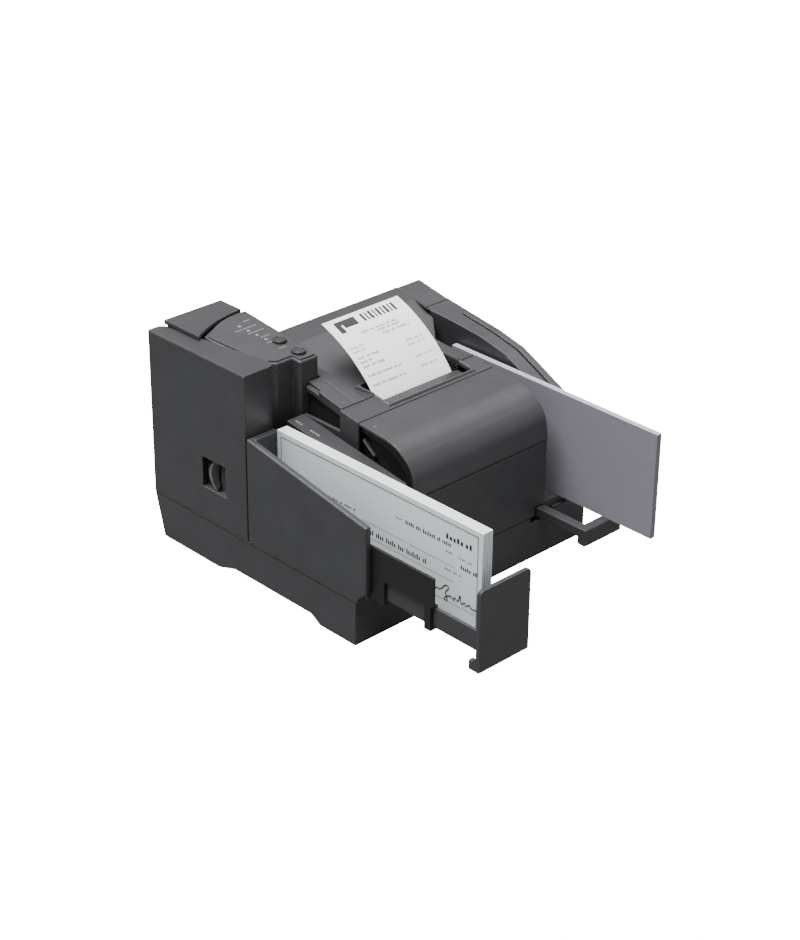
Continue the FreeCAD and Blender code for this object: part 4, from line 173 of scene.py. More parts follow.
def paper(name, colour, top=None, rough=0.8):
    """Smooth paper; faces that look up take the paler colour top."""
    material, tree = new_material(name)
    shader = tree.nodes["Principled BSDF"]
    shader.inputs["Roughness"].default_value = rough
    fibre = noise(tree, 900, 6, 0.7)
    base = ramp(tree, fibre, [(0.3, shade(colour, 0.97)), (0.7, shade(colour, 1.02))])
    if top:
        shape = tree.nodes.new("ShaderNodeNewGeometry")
        parts = tree.nodes.new("ShaderNodeSeparateXYZ")
        link(tree, shape.outputs["Normal"], parts.inputs["Vector"])
        facing = tree.nodes.new("ShaderNodeMapRange")
        facing.inputs["From Min"].default_value = 0.6
        facing.inputs["From Max"].default_value = 0.9
        link(tree, parts.outputs["Z"], facing.inputs["Value"])
        blend = tree.nodes.new("ShaderNodeMix")
        blend.data_type = "RGBA"
        link(tree, facing.outputs["Result"], blend.inputs["Factor"])
        link(tree, base, blend.inputs["A"])
        edges = ramp(tree, noise(tree, 500, 2), [(0.4, shade(top, 0.94)), (0.6, top)])
        link(tree, edges, blend.inputs["B"])
        base = blend.outputs["Result"]
    link(tree, base, shader.inputs["Base Color"])
    bump = tree.nodes.new("ShaderNodeBump")
    bump.inputs["Strength"].default_value = 0.2
    bump.inputs["Distance"].default_value = 0.00002
    link(tree, fibre, bump.inputs["Height"])
    link(tree, bump.outputs["Normal"], shader.inputs["Normal"])
    return material


CASE = (0.0385, 0.0388, 0.0418)
# the last factor given to the case, panel, button and channel plastics brightens their edges' colour: a
# painted highlight
MATERIALS = {
    "case_plastic": moulded("case_plastic", CASE, 0.42, edge=0.0013, edge_highlight=2.4),
    "panel_plastic": moulded("panel_plastic", shade(CASE, 1.08), edge=0.0009, edge_highlight=1.8),
    "button_plastic": moulded("button_plastic", shade(CASE, 0.85), 0.4, edge_highlight=2.0),
    "light_plastic": moulded("light_plastic", (0.11, 0.11, 0.115)),
    "liner_grey": moulded("liner_grey", (0.012, 0.012, 0.012)),
    "inner_plastic": moulded("inner_plastic", (0.016, 0.016, 0.017)),
    "channel_plastic": moulded("channel_plastic", (0.006, 0.0053, 0.0048), 0.5, edge=0.0008, edge_highlight=4.0),
    "socket_black": moulded("socket_black", (0.008, 0.008, 0.008)),
    "gear_plastic": moulded("gear_plastic", (0.012, 0.012, 0.012), 0.4),
    "lamp_lens": moulded("lamp_lens", (0.22, 0.225, 0.235), 0.25),
    "board_green": moulded("board_green", (0.02, 0.1, 0.035), 0.4),
    "foot_rubber": moulded("foot_rubber", (0.015, 0.015, 0.015), 0.75),
    "roller_rubber": moulded("roller_rubber", (0.02, 0.02, 0.021), 0.7),
    "belt_rubber": moulded("belt_rubber", (0.02, 0.02, 0.02), 0.75),
    "sheet_steel": moulded("sheet_steel", (0.06, 0.06, 0.063), 0.4),
    "screw_steel": metal("screw_steel", (0.5, 0.5, 0.51)),
    "guide_steel": metal("guide_steel", (0.5, 0.5, 0.51)),
    "blade_steel": moulded("blade_steel", (0.03, 0.03, 0.031), 0.35),
    "shaft_steel": metal("shaft_steel", (0.5, 0.5, 0.52), 0.25),
    "motor_steel": metal("motor_steel", (0.25, 0.25, 0.26), 0.45),
    "head_metal": metal("head_metal", (0.5, 0.5, 0.51)),
    "sensor_glass": moulded("sensor_glass", (0.02, 0.022, 0.03), 0.12),
    "cheque_paper": paper("cheque_paper", (0.72, 0.81, 0.82), (0.90, 0.93, 0.94)),
    "sorted_paper": paper("sorted_paper", (0.22, 0.21, 0.25), (0.5, 0.48, 0.55)),
    "receipt_paper": paper("receipt_paper", (0.93, 0.92, 0.97)),
    "core_card": paper("core_card", (0.4, 0.3, 0.2)),
}
BLACK_INK = paper("black_ink", (0.03, 0.03, 0.032))
GREY_INK = paper("grey_ink", (0.16, 0.165, 0.17))
PALE_INK = paper("pale_ink", (0.33, 0.34, 0.36))
LABEL_INK = paper("label_ink", (0.26, 0.26, 0.27))
# black for the joint lines, and for the painted shadow sheet in the thumb cup
SEAM_AND_SHADOW_DARK = moulded("seam_and_shadow_dark", (0.004, 0.004, 0.004), 0.8, edge_highlight=1)

slots = {item["node"]: item["material_slot"] for item in frame["record"]["subparts"]}
for name, node in nodes.items():
    node.data.materials.clear()
    node.data.materials.append(MATERIALS[slots[name]])


# helpers for the added pieces

def place(name, data, body, slot, finish=None):
    """Put mesh or curve data in the scene as a piece of the body; finish is a print colour, or the black of
    the joint lines and the painted shadow.
    """
    item = bpy.data.objects.new(name, data)
    bpy.context.scene.collection.objects.link(item)
    data.materials.append(finish or MATERIALS[slot])
    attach(item, body)
    return item


def smooth(mesh):
    for face in mesh.polygons:
        face.use_smooth = True


def bevelled(item, width, segments=2):
    """Rounded edges, as a modifier on the piece."""
    change = item.modifiers.new("rounding", "BEVEL")
    change.width = width * MM
    change.segments = segments
    change.limit_method = "ANGLE"
    item.modifiers.new("shading", "WEIGHTED_NORMAL")
    return item


def prism(name, outline, depth, body, slot, round_width=0):
    """Solid between an outline of points and the same outline moved by depth, all in machine places."""
    form = bmesh.new()
    shift = Vector(depth)
    near = [form.verts.new(at(*point)) for point in outline]
    far = [form.verts.new(at(*(Vector(point) + shift))) for point in outline]
    form.faces.new(near)
    form.faces.new(reversed(far))
    count = len(outline)
    for index in range(count):
        following = (index + 1) % count
        form.faces.new((near[following], near[index], far[index], far[following]))
    bmesh.ops.recalc_face_normals(form, faces=form.faces)
    mesh = bpy.data.meshes.new(name)
    form.to_mesh(mesh)
    form.free()
    item = place(name, mesh, body, slot)
    if round_width:
        bevelled(item, round_width)
    return item


def tube(name, points, radius, body, slot, closed=False, finish=None):
    """Round bead along a smooth line of machine places."""
    curve = bpy.data.curves.new(name, "CURVE")
    curve.dimensions = "3D"
    curve.bevel_depth = radius * MM
    curve.bevel_resolution = 3
    curve.use_fill_caps = True
    line = curve.splines.new("POLY")
    line.points.add(len(points) - 1)
    for point, target in zip(points, line.points):
        target.co = (*at(*point), 1)
    line.use_cyclic_u = closed
    return place(name, curve, body, slot, finish)


def strokes(name, panels, body, slot, finish=None):
    """Many small flat marks in one mesh; each panel is a list of corner places."""
    mesh = bpy.data.meshes.new(name)
    verts = []
    faces = []
    for panel in panels:
        start = len(verts)
        verts += [at(*corner) for corner in panel]
        faces.append(tuple(range(start, start + len(panel))))
    mesh.from_pydata(verts, [], faces)
    return place(name, mesh, body, slot, finish)


def flat_ring(x, y, z, radius, count):
    """Level circle of points."""
    angles = [math.tau * index / count for index in range(count)]
    return [(x + radius * math.cos(angle), y + radius * math.sin(angle), z) for angle in angles]


def corner_arc(centre, radius, start, end, steps=6):
    """Points of an arc in a plane, as (across, along) pairs; angles in degrees."""
    points = []
    for index in range(steps + 1):
        angle = math.radians(start + (end - start) * index / steps)
        points.append((centre[0] + radius * math.cos(angle), centre[1] + radius * math.sin(angle)))
    return points


def through(first, middle, last):
    """Centre, radius, start and end angle of the arc that passes three (y, z) places."""
    (ax, ay), (bx, by), (cx, cy) = first, middle, last
    double = 2 * (ax * (by - cy) + bx * (cy - ay) + cx * (ay - by))
    a2, b2, c2 = ax * ax + ay * ay, bx * bx + by * by, cx * cx + cy * cy
    x = (a2 * (by - cy) + b2 * (cy - ay) + c2 * (ay - by)) / double
    y = (a2 * (cx - bx) + b2 * (ax - cx) + c2 * (bx - ax)) / double
    radius = math.hypot(ax - x, ay - y)
    start = math.atan2(ay - y, ax - x)
    end = math.atan2(cy - y, cx - x)
    return (x, y), radius, start, end


# lever dish and the painted shadow in the cup behind it, marks on the panel and the printer's wall, button
# rims

CUP_FRONT = 157.3
CUP_LOW = 66.8
CUP_HIGH = 92.2
CUP_MIDDLE = 79.5
CRESCENT_FRONT = 164.0
DISH_DEEP = 4.4
DISH_EDGE = 1.9
DISH_CENTRE = 155.4
DISH_SHEET = 0.4
DISH_IN_SHARE = 0.75
DISH_SHORT_SHARE = 0.35


def add_lever_dish():
    """Thumb dish between the crescent and the cup's front wall; it hides the lever's stem."""
    form = bmesh.new()
    rings = 7
    steps = 14
    centre, radius, start, end = through((CUP_FRONT, CUP_LOW), (CRESCENT_FRONT, CUP_MIDDLE),
                                         (CUP_FRONT, CUP_HIGH))
    rows = []
    for ring in range(rings + 1):
        share = ring / rings
        x = DISH_EDGE + (DISH_DEEP - DISH_EDGE) * share ** 3
        row = []
        for step in range(steps + 1):
            angle = start + (end - start) * step / steps
            y = centre[0] + radius * math.cos(angle)
            z = centre[1] + radius * math.sin(angle)
            y = y + (DISH_CENTRE - y) * share * DISH_IN_SHARE
            z = z + (CUP_MIDDLE - z) * share * DISH_SHORT_SHARE
            row.append(form.verts.new(at(x, y, z)))
        rows.append(row)
    for first, second in zip(rows, rows[1:]):
        for index in range(steps):
            form.faces.new((first[index], first[index + 1], second[index + 1], second[index]))
    bmesh.ops.recalc_face_normals(form, faces=form.faces)
    mesh = bpy.data.meshes.new("lever_dish")
    form.to_mesh(mesh)
    form.free()
    smooth(mesh)
    dish = place("lever_dish", mesh, "cover_lever_body", "inner_plastic")
    thick = dish.modifiers.new("wall", "SOLIDIFY")
    thick.thickness = DISH_SHEET * MM


PANEL_PROUD = 1.2
PANEL_FRONT = (123.0, 170.7)
PANEL_REAR = (208.4, 179.3)


def slope_height(low_end, high_end, y):
    """Height at y of the line between two (y, z) ends."""
    return low_end[1] + (y - low_end[0]) * (high_end[1] - low_end[1]) / (high_end[0] - low_end[0])


def panel_top(y):
    """Height of the control panel's face."""
    return slope_height(PANEL_FRONT, PANEL_REAR, y) + PANEL_PROUD + PROUD


def flat_mark(x, y, long, tall, height):
    """Corners of a small mark on a face that slopes along y."""
    return [(x, y, height(y)), (x + long, y, height(y)), (x + long, y + tall, height(y + tall)),
            (x, y + tall, height(y + tall))]


# left end, y and number of dashes of each row
PANEL_ROWS = (
    (61.7, 193.4, 3), (46.5, 184.4, 9), (52.0, 176.4, 7), (57.0, 167.0, 4), (55.0, 157.6, 4),
    (57.0, 145.8, 3))
DASH_LONG = 1.5
DASH_TALL = 0.9
DASH_PITCH = 2.3


def add_panel_marks():
    marks = []
    for left, y, count in PANEL_ROWS:
        for index in range(count):
            marks.append(flat_mark(left + index * DASH_PITCH, y, DASH_LONG, DASH_TALL, panel_top))
    strokes("panel_marks", marks, "chassis", "light_plastic", LABEL_INK)


LEDGE_Y = 117.4
LEDGE_Z = 128.69
LEDGE_SLOPE_SHARE = 0.1135
LEDGE_LEFT = 44.6
LEDGE_LONG = 1.6
LEDGE_TALL = 1.5
LEDGE_PLACES = (113.5, 110.8, 108.1, 97.0, 94.3, 91.6, 88.9)


def ledge_top(y):
    """Height of the sloping top of the wall beside the printer."""
    return LEDGE_Z + (y - LEDGE_Y) * LEDGE_SLOPE_SHARE + PROUD


def add_ledge_marks():
    """Two small groups of dashes on the wall between the cheques and the printer."""
    marks = [flat_mark(LEDGE_LEFT, y, LEDGE_LONG, LEDGE_TALL, ledge_top) for y in LEDGE_PLACES]
    strokes("ledge_marks", marks, "chassis", "light_plastic", LABEL_INK)


SHADOW_X = 5.3
SHADOW_EDGE = 0.5
SHADOW_FRONT = 164.5
SHADOW_REAR = 172.9
SHADOW_LOW = 66.6
SHADOW_HIGH = 92.4
STEM_LOW = 74.2
STEM_HIGH = 84.8


def add_cup_shadow():
    """Dark sheet painted as the shadow in the back of the thumb cup behind the crescent, open where the
    lever's stem slides.
    """
    panels = []
    for low, high in ((SHADOW_LOW, STEM_LOW), (STEM_HIGH, SHADOW_HIGH)):
        panels.append([(SHADOW_X, SHADOW_REAR, low), (SHADOW_X, SHADOW_FRONT, low),
                       (SHADOW_X, SHADOW_FRONT, high), (SHADOW_X, SHADOW_REAR, high)])
    panels.append([(SHADOW_X, SHADOW_REAR, SHADOW_LOW), (SHADOW_X, SHADOW_REAR, SHADOW_HIGH),
                   (SHADOW_EDGE, SHADOW_REAR, SHADOW_HIGH), (SHADOW_EDGE, SHADOW_REAR, SHADOW_LOW)])
    # painted shadow: a dark sheet where the back of the cup lies in shade
    strokes("cup_shadow", panels, "scanner_cover_body", "inner_plastic", SEAM_AND_SHADOW_DARK)


BUTTONS = (("front", 65.5, 134.0), ("rear", 64.8, 155.2))
BUTTON_RADIUS = 5.5
RIM_IN_SHARE = 0.86
RIM_RADIUS = 0.45
RIM_POINTS = 32


def add_button_rims():
    """Raised ring on each button's face, near its edge."""
    for label, x, y in BUTTONS:
        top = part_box(label + "_button")[1].z / MM
        ring = flat_ring(x, y, top, BUTTON_RADIUS * RIM_IN_SHARE, RIM_POINTS)
        tube(label + "_button_rim", ring, RIM_RADIUS, label + "_button_body", "button_plastic", closed=True)


# receipt slot rim and small marks

SLOT_LEFT = 96.5
SLOT_RIGHT = 185.0
SLOT_FRONT = 67.0
SLOT_REAR = 100.0
SLOT_CORNER = 4.0
SLOT_RIM = 1.1
RIM_LIFT = 0.5
STRIP_FRONT = (61.7, 141.6)
STRIP_REAR = (81.8, 144.6)
STRIP_END = 81.2
COVER_END = 83.4
COVER_RIM_Z = 146.0


def strip_top(y):
    """Height of the fixed strip in front of the slot."""
    return slope_height(STRIP_FRONT, STRIP_REAR, y)


def add_slot_rim():
    """Rounded rim of the receipt slot: its front half on the fixed strip, its rear half on the roll cover."""
    left, right = SLOT_LEFT - SLOT_RIM, SLOT_RIGHT + SLOT_RIM
    front, rear = SLOT_FRONT - SLOT_RIM, SLOT_REAR + SLOT_RIM
    line = [(left, STRIP_END)]
    line += corner_arc((left + SLOT_CORNER, front + SLOT_CORNER), SLOT_CORNER, 180, 270)
    line += corner_arc((right - SLOT_CORNER, front + SLOT_CORNER), SLOT_CORNER, 270, 360)
    line.append((right, STRIP_END))
    tube("slot_rim_front", [(x, y, strip_top(y) + RIM_LIFT) for x, y in line], SLOT_RIM, "chassis",
         "case_plastic")
    line = [(right, COVER_END)]
    line += corner_arc((right - SLOT_CORNER, rear - SLOT_CORNER), SLOT_CORNER, 0, 90)
    line += corner_arc((left + SLOT_CORNER, rear - SLOT_CORNER), SLOT_CORNER, 90, 180)
    line.append((left, COVER_END))
    tube("slot_rim_rear", [(x, y, COVER_RIM_Z) for x, y in line], SLOT_RIM, "roll_cover_body", "case_plastic")


DOT_RADIUS = 1.2
DOT_POINTS = 20

# name, x, y, height of the face below it and body of each dot
DOTS = (("lobe", 68.4, 87.6, 145.95, "chassis"),
        ("front_cover", 66.0, 49.9, 140.65, "front_cover_body"),
        # painted highlight: a light dot where the ledge's corner catches the light
        ("roll_cover", 199.3, 119.0, 144.2, "roll_cover_body"))


def add_seam_dots():
    """Small round light marks by the catches of the covers; the one on the roll cover is a painted highlight,
    the glint on the corner of the ledge where the roll cover narrows.
    """
    for name, x, y, z, body in DOTS:
        dot = flat_ring(x, y, z + PROUD, DOT_RADIUS, DOT_POINTS)
        strokes("dot_" + name, [dot], body, "light_plastic")


# cheques: print on the waiting one, sheet edges on both stacks, receipt print

CHEQUE_LEFT = 25.0
CHEQUE_THICK = 9.7
CHEQUE_LOW = 39.7
CHEQUE_HIGH = 128.7
CHEQUE_FRONT = -102.7
CHEQUE_REAR = 113.3
SORTED_LEFT = 219.7
SORTED_THICK = 5.0
SORTED_LOW = 45.0
SORTED_HIGH = 134.0
SORTED_FRONT = -93.0
SORTED_REAR = 123.0


def side_mark(front, low, rear, high):
    """Upright rectangle on the cheque's left face between two (y, z) corners."""
    x = CHEQUE_LEFT - PROUD
    return [(x, rear, low), (x, front, low), (x, front, high), (x, rear, high)]


GLYPH_TALL_SHARES = (1.0, 0.7, 0.7, 1.0, 0.75, 0.7, 1.0, 0.7)
WORD_LENGTHS = (5, 3, 7, 2, 6, 4)
MOST_WORDS = 60


def glyphs(start, end, tall, wide=0.9, gap=0.5, space=1.7):
    """Places of small upright bars, in groups like printed words: (start, long, height) along a row."""
    row = []
    left = start
    for word in range(MOST_WORDS):
        for _ in range(WORD_LENGTHS[word % len(WORD_LENGTHS)]):
            if left + wide > end:
                return row
            row.append((left, wide, tall * GLYPH_TALL_SHARES[len(row) % len(GLYPH_TALL_SHARES)]))
            left += wide + gap
        left += space
    return row


def words(start, end, tall, **shape):
    """Row of printed words on the cheque, from the y of start down to the y of end."""
    y, z = start
    return [side_mark(y - along - long, z, y - along, z + high)
            for along, long, high in glyphs(0, y - end, tall, **shape)]


BORDER_IN = 4.0
BORDER_WIDE = 0.8
RULE_WIDE = 0.5

# front end, rear end and z of each ruled line
CHEQUE_RULES = ((-76.0, 82.0, 78.2), (-98.0, -42.0, 60.2), (20.0, 84.0, 60.2), (-76.0, 20.0, 90.2))

# y where the row starts, y where it ends, z and height of its bars
FINE_ROWS = ((-67.0, -75.0, 100.0, 1.8), (-80.0, -94.0, 99.6, 1.4), (-66.0, -84.0, 85.6, 1.6),
             (82.0, 50.0, 62.0, 1.8), (70.0, 26.0, 94.0, 2.0))

# the same, with the bars' width
SHORT_ROW = (-16.0, -23.0, 106.4, 1.3, 1.2)

# the same, with the bars' width, the gap between bars and the space between words
BOLD_ROWS = ((-26.0, -73.0, 105.6, 3.2, 1.1, 0.7, 1.7), (-67.0, -94.0, 111.0, 4.2, 2.2, 1.4, 1.4),
             (64.0, -50.0, 81.4, 4.2, 1.2, 0.9, 2.2), (-82.0, -98.0, 92.2, 3.2, 1.3, 0.8, 1.7),
             (70.0, -40.0, 47.0, 3.2, 1.4, 1.2, 1.7))


def add_cheque_print():
    """Border, rules and rows of bars on the waiting cheque."""
    front, rear = CHEQUE_FRONT + BORDER_IN, CHEQUE_REAR - BORDER_IN
    low, high = CHEQUE_LOW + BORDER_IN, CHEQUE_HIGH - BORDER_IN
    border = [side_mark(front, low, rear, low + BORDER_WIDE),
              side_mark(front, high - BORDER_WIDE, rear, high),
              side_mark(front, low, front + BORDER_WIDE, high),
              side_mark(rear - BORDER_WIDE, low, rear, high)]
    strokes("cheque_border", border, "waiting_cheques_body", "socket_black", GREY_INK)
    rules = [side_mark(start, z, end, z + RULE_WIDE) for start, end, z in CHEQUE_RULES]
    strokes("cheque_rules", rules, "waiting_cheques_body", "socket_black", PALE_INK)
    start, end, z, tall, wide = SHORT_ROW
    fine = words((start, z), end, tall, wide=wide)
    for start, end, z, tall in FINE_ROWS:
        fine += words((start, z), end, tall)
    strokes("cheque_fine_print", fine, "waiting_cheques_body", "socket_black", GREY_INK)
    bold = []
    for start, end, z, tall, wide, gap, space in BOLD_ROWS:
        bold += words((start, z), end, tall, wide=wide, gap=gap, space=space)
    strokes("cheque_bold_print", bold, "waiting_cheques_body", "socket_black", BLACK_INK)


# (y, z) places that the squiggle passes by
SIGNATURE = (
    (-46.0, 63.0), (-52.0, 69.0), (-55.0, 62.0), (-58.0, 68.0), (-62.0, 66.5), (-67.5, 74.0), (-71.5, 71.5),
    (-66.5, 67.0), (-70.5, 60.5), (-65.0, 61.0), (-72.0, 67.0), (-76.5, 63.0), (-76.0, 67.5), (-80.5, 63.5),
    (-82.0, 73.0), (-83.0, 62.5), (-86.5, 67.5), (-88.0, 63.5), (-91.5, 67.5), (-93.0, 63.5), (-101.0, 66.0))
PEN_RADIUS = 0.45


def add_signature():
    """Written squiggle on the cheque's signature line."""
    curve = bpy.data.curves.new("signature", "CURVE")
    curve.dimensions = "3D"
    curve.bevel_depth = PEN_RADIUS * MM
    curve.bevel_resolution = 1
    line = curve.splines.new("NURBS")
    line.points.add(len(SIGNATURE) - 1)
    for (y, z), point in zip(SIGNATURE, line.points):
        point.co = (*at(CHEQUE_LEFT, y, z), 1)
    line.use_endpoint_u = True
    line.order_u = 3
    place("signature", curve, "waiting_cheques_body", "socket_black", BLACK_INK)


SHEET_LINES = 3
EDGE_IN = 1.0
WAITING_LINE = 0.35
SORTED_LINE = 0.2
SORTED_SHIFT_SHARE = 0.7


def sheet_edges(x, wide, front, rear, low, high):
    """A line along the top of a stack and one down its front end."""
    top = high + PROUD
    face = front - PROUD
    return [[(x, rear - EDGE_IN, top), (x, front + EDGE_IN, top), (x + wide, front + EDGE_IN, top),
             (x + wide, rear - EDGE_IN, top)],
            [(x, face, low + EDGE_IN), (x + wide, face, low + EDGE_IN), (x + wide, face, high - EDGE_IN),
             (x, face, high - EDGE_IN)]]


def add_stack_edges():
    """Fine lines along the tops and front ends of the two stacks, where the sheets' edges show."""
    waiting = []
    finished = []
    for index in range(SHEET_LINES):
        x = CHEQUE_LEFT + CHEQUE_THICK * (index + 1) / (SHEET_LINES + 1)
        waiting += sheet_edges(x, WAITING_LINE, CHEQUE_FRONT, CHEQUE_REAR, CHEQUE_LOW, CHEQUE_HIGH)
        x = SORTED_LEFT + SORTED_THICK * (index + SORTED_SHIFT_SHARE) / (SHEET_LINES + 1)
        finished += sheet_edges(x, SORTED_LINE, SORTED_FRONT, SORTED_REAR, SORTED_LOW, SORTED_HIGH)
    strokes("waiting_sheet_edges", waiting, "waiting_cheques_body", "cheque_paper", PALE_INK)
    strokes("finished_sheet_edges", finished, "finished_cheques_body", "sorted_paper", GREY_INK)


RECEIPT_FOOT = (79.9, 137.5)
RECEIPT_MIDDLE = (105.5, 163.8)
RECEIPT_TOP = (143.0, 183.3)
RECEIPT_CENTRE, RECEIPT_RADIUS, RECEIPT_START, _ = through(RECEIPT_FOOT, RECEIPT_MIDDLE, RECEIPT_TOP)


def on_receipt(x, along):
    """Place on the receipt's printed face: across it, and along it from its foot."""
    angle = RECEIPT_START - along / RECEIPT_RADIUS
    radius = RECEIPT_RADIUS + PROUD
    return (x, RECEIPT_CENTRE[0] + radius * math.cos(angle), RECEIPT_CENTRE[1] + radius * math.sin(angle))


def receipt_mark(left, along, long, tall):
    return [on_receipt(left, along), on_receipt(left + long, along), on_receipt(left + long, along + tall),
            on_receipt(left, along + tall)]


# left end, right end and place along the receipt of each printed row
GREY_ROWS = ((101.5, 116.0, 47.5), (101.5, 114.0, 43.5), (152.0, 170.0, 37.5), (152.0, 170.0, 33.5),
             (152.0, 170.0, 22.5), (152.0, 170.0, 14.0))
DARK_ROWS = ((121.0, 158.0, 57.5), (136.0, 158.0, 54.5), (138.0, 166.0, 50.5), (101.5, 124.0, 37.5),
             (101.5, 114.0, 33.5), (101.5, 124.0, 29.5), (101.5, 136.0, 21.5), (101.5, 136.0, 13.5))
ROW_TALL = 2.1
ROW_BAR = 0.9
ROW_GAP = 0.55
ROW_SPACE = 1.6

# left end, place along, width and height of the heading's plain block, in three pieces
HEADING_BLOCK = ((105.0, 71.0, 21.0, 4.4), (105.0, 63.2, 5.0, 8.2), (112.0, 67.2, 14.0, 4.2))
HEADING_BARS = (2.4, 1.6, 2.6, 1.5, 2.4, 1.6, 2.6, 1.5, 2.4)
HEADING_LEFT = 132.0
HEADING_ALONG = 67.0
HEADING_TALL = 8.4
HEADING_GAP = 2.0


def receipt_rows(rows):
    """Rows of small bars on the receipt."""
    marks = []
    for left, right, along in rows:
        for start, wide, tall in glyphs(left, right, ROW_TALL, ROW_BAR, ROW_GAP, ROW_SPACE):
            marks.append(receipt_mark(start, along, wide, tall))
    return marks


def add_receipt_print():
    """Heading block with plain bars, and rows of bars below it."""
    heading = [receipt_mark(*piece) for piece in HEADING_BLOCK]
    left = HEADING_LEFT
    for wide in HEADING_BARS:
        heading.append(receipt_mark(left, HEADING_ALONG, wide, HEADING_TALL))
        left += wide + HEADING_GAP
    strokes("receipt_heading", heading, "roll_cover_body", "socket_black", BLACK_INK)
    strokes("receipt_grey_print", receipt_rows(GREY_ROWS), "roll_cover_body", "socket_black", PALE_INK)
    strokes("receipt_print", receipt_rows(DARK_ROWS), "roll_cover_body", "socket_black", GREY_INK)


# front cover end, joint lines, roll windings and rear vents

# (y, z) corners of the front cover's outer line
COVER_PROFILE = (
    (61.0, 141.5), (31.5, 139.2), (21.5, 136.4), (12.5, 131.2), (5.3, 124.1), (2.0, 115.3), (0.3, 103.6))
BAND_WIDE = 8.0
BAND_IN = 1.8
BAND_REAR = 60.0
RIB_X = 62.6
RIB_THICK = 1.6

# (y, z) corners of the flat facet and of the small ledge
FACET_X = 65.0
FACET = ((52.0, 131.0), (33.0, 130.0), (17.0, 118.5), (13.0, 106.0), (22.0, 105.0), (40.0, 121.0))
LEDGE_X = 61.2
LEDGE_WIDE = 3.0
LEDGE = ((58.0, 128.6), (46.0, 119.5), (46.0, 117.8), (58.0, 126.9))


def add_cover_end():
    """Dark curved rib inside the front cover's open left end, with a flat facet behind it."""
    outer = [(RIB_X, y + BAND_IN, z - BAND_IN) for y, z in COVER_PROFILE]
    inner = [(RIB_X, min(BAND_REAR, y + BAND_WIDE), z - BAND_WIDE) for y, z in reversed(COVER_PROFILE)]
    prism("front_cover_rib", outer + inner, (RIB_THICK, 0, 0), "front_cover_body", "inner_plastic", 0.3)
    facet = [(FACET_X, y, z) for y, z in FACET]
    prism("front_cover_facet", facet, (RIB_THICK, 0, 0), "front_cover_body", "liner_grey", 0.4)
    ledge = [(LEDGE_X, y, z) for y, z in LEDGE]
    prism("front_cover_ledge", ledge, (LEDGE_WIDE, 0, 0), "chassis", "case_plastic", 0.3)


SEAM_RADIUS = 0.5
WIDE_SEAM_RADIUS = 1.1
SLOT_CLEAR = 2.4
STRIP_SEAM = (82.05, 144.75)
FRONT_SEAM = (61.35, 141.55)
ACCESS_SEAM = (157.15, 154.75)
ROLL_SEAM_X = 222.1
ROLL_SEAM = ((192.6, 160.4), (163.2, 156.0), (152.7, 154.0))

# start, end, lower and upper edge of the base's joint on the left side and on the front
BASE_SIDE = (-2.0, 232.0, 37.3, 38.0)
BASE_FRONT = (62.0, 228.0, 37.7, 38.5)

# left end, right end and (y, z) of each straight joint across the machine
CROSS_SEAMS = {
    "strip_rear": (62.4, SLOT_LEFT - SLOT_CLEAR, STRIP_SEAM),
    "strip_rear_right": (SLOT_RIGHT + SLOT_CLEAR, 201.6, STRIP_SEAM),
    "strip_front": (60.2, 201.8, FRONT_SEAM),
    "access_front": (223.6, 248.6, ACCESS_SEAM),
}


def add_seams():
    """Dark joint lines where the casing's parts meet."""
    start, end, low, high = BASE_SIDE
    side_seam = [(-PROUD, start, low), (-PROUD, end, low), (-PROUD, end, high), (-PROUD, start, high)]
    start, end, low, high = BASE_FRONT
    front_seam = [(start, -PROUD, low), (end, -PROUD, low), (end, -PROUD, high), (start, -PROUD, high)]
    strokes("base_seam", [side_seam, front_seam], "chassis", "socket_black", SEAM_AND_SHADOW_DARK)
    for name, (left, right, (y, z)) in CROSS_SEAMS.items():
        tube("seam_" + name, [(left, y, z), (right, y, z)], SEAM_RADIUS, "chassis", "socket_black",
             finish=SEAM_AND_SHADOW_DARK)
    roll_seam = [(ROLL_SEAM_X, y, z) for y, z in ROLL_SEAM]
    tube("seam_roll_right", roll_seam, WIDE_SEAM_RADIUS, "chassis", "socket_black", finish=SEAM_AND_SHADOW_DARK)


ROLL_LEFT = 97.0
ROLL_RIGHT = 177.0
ROLL_AXIS = (139.0, 95.0)
WINDING_OUT = 0.05
WINDING_WIDE = 0.16
WINDING_RADII = (14, 19, 24, 29, 34, 38.6)


def ring_points(x, y, z, radius, count=40):
    """Circle round an axis along x."""
    angles = [math.tau * index / count for index in range(count)]
    return [(x, y + radius * math.cos(angle), z + radius * math.sin(angle)) for angle in angles]


def add_roll_windings():
    """Fine rings on the ends of the paper roll, where its layers show."""
    for side, x in (("left", ROLL_LEFT - WINDING_OUT), ("right", ROLL_RIGHT + WINDING_OUT)):
        for index, radius in enumerate(WINDING_RADII):
            ring = ring_points(x, *ROLL_AXIS, radius)
            tube(f"winding_{side}_{index}", ring, WINDING_WIDE, "paper_roll_body", "liner_grey", closed=True)


REAR_FACE = 234.0
VENT_COLUMNS = 12
VENT_ROWS = 3
VENT_LEFT = 110.0
VENT_LOW = 96.0
VENT_PITCH = 9.0
VENT_LONG = 6.0
VENT_TALL = 2.4


def add_rear_vents():
    """Rows of short dark slots in the rear housing's back wall."""
    y = REAR_FACE + PROUD
    marks = []
    for column in range(VENT_COLUMNS):
        for row in range(VENT_ROWS):
            x = VENT_LEFT + column * VENT_PITCH
            z = VENT_LOW + row * VENT_PITCH
            marks.append([(x, y, z), (x + VENT_LONG, y, z), (x + VENT_LONG, y, z + VENT_TALL),
                          (x, y, z + VENT_TALL)])
    strokes("rear_vents", marks, "chassis", "socket_black")


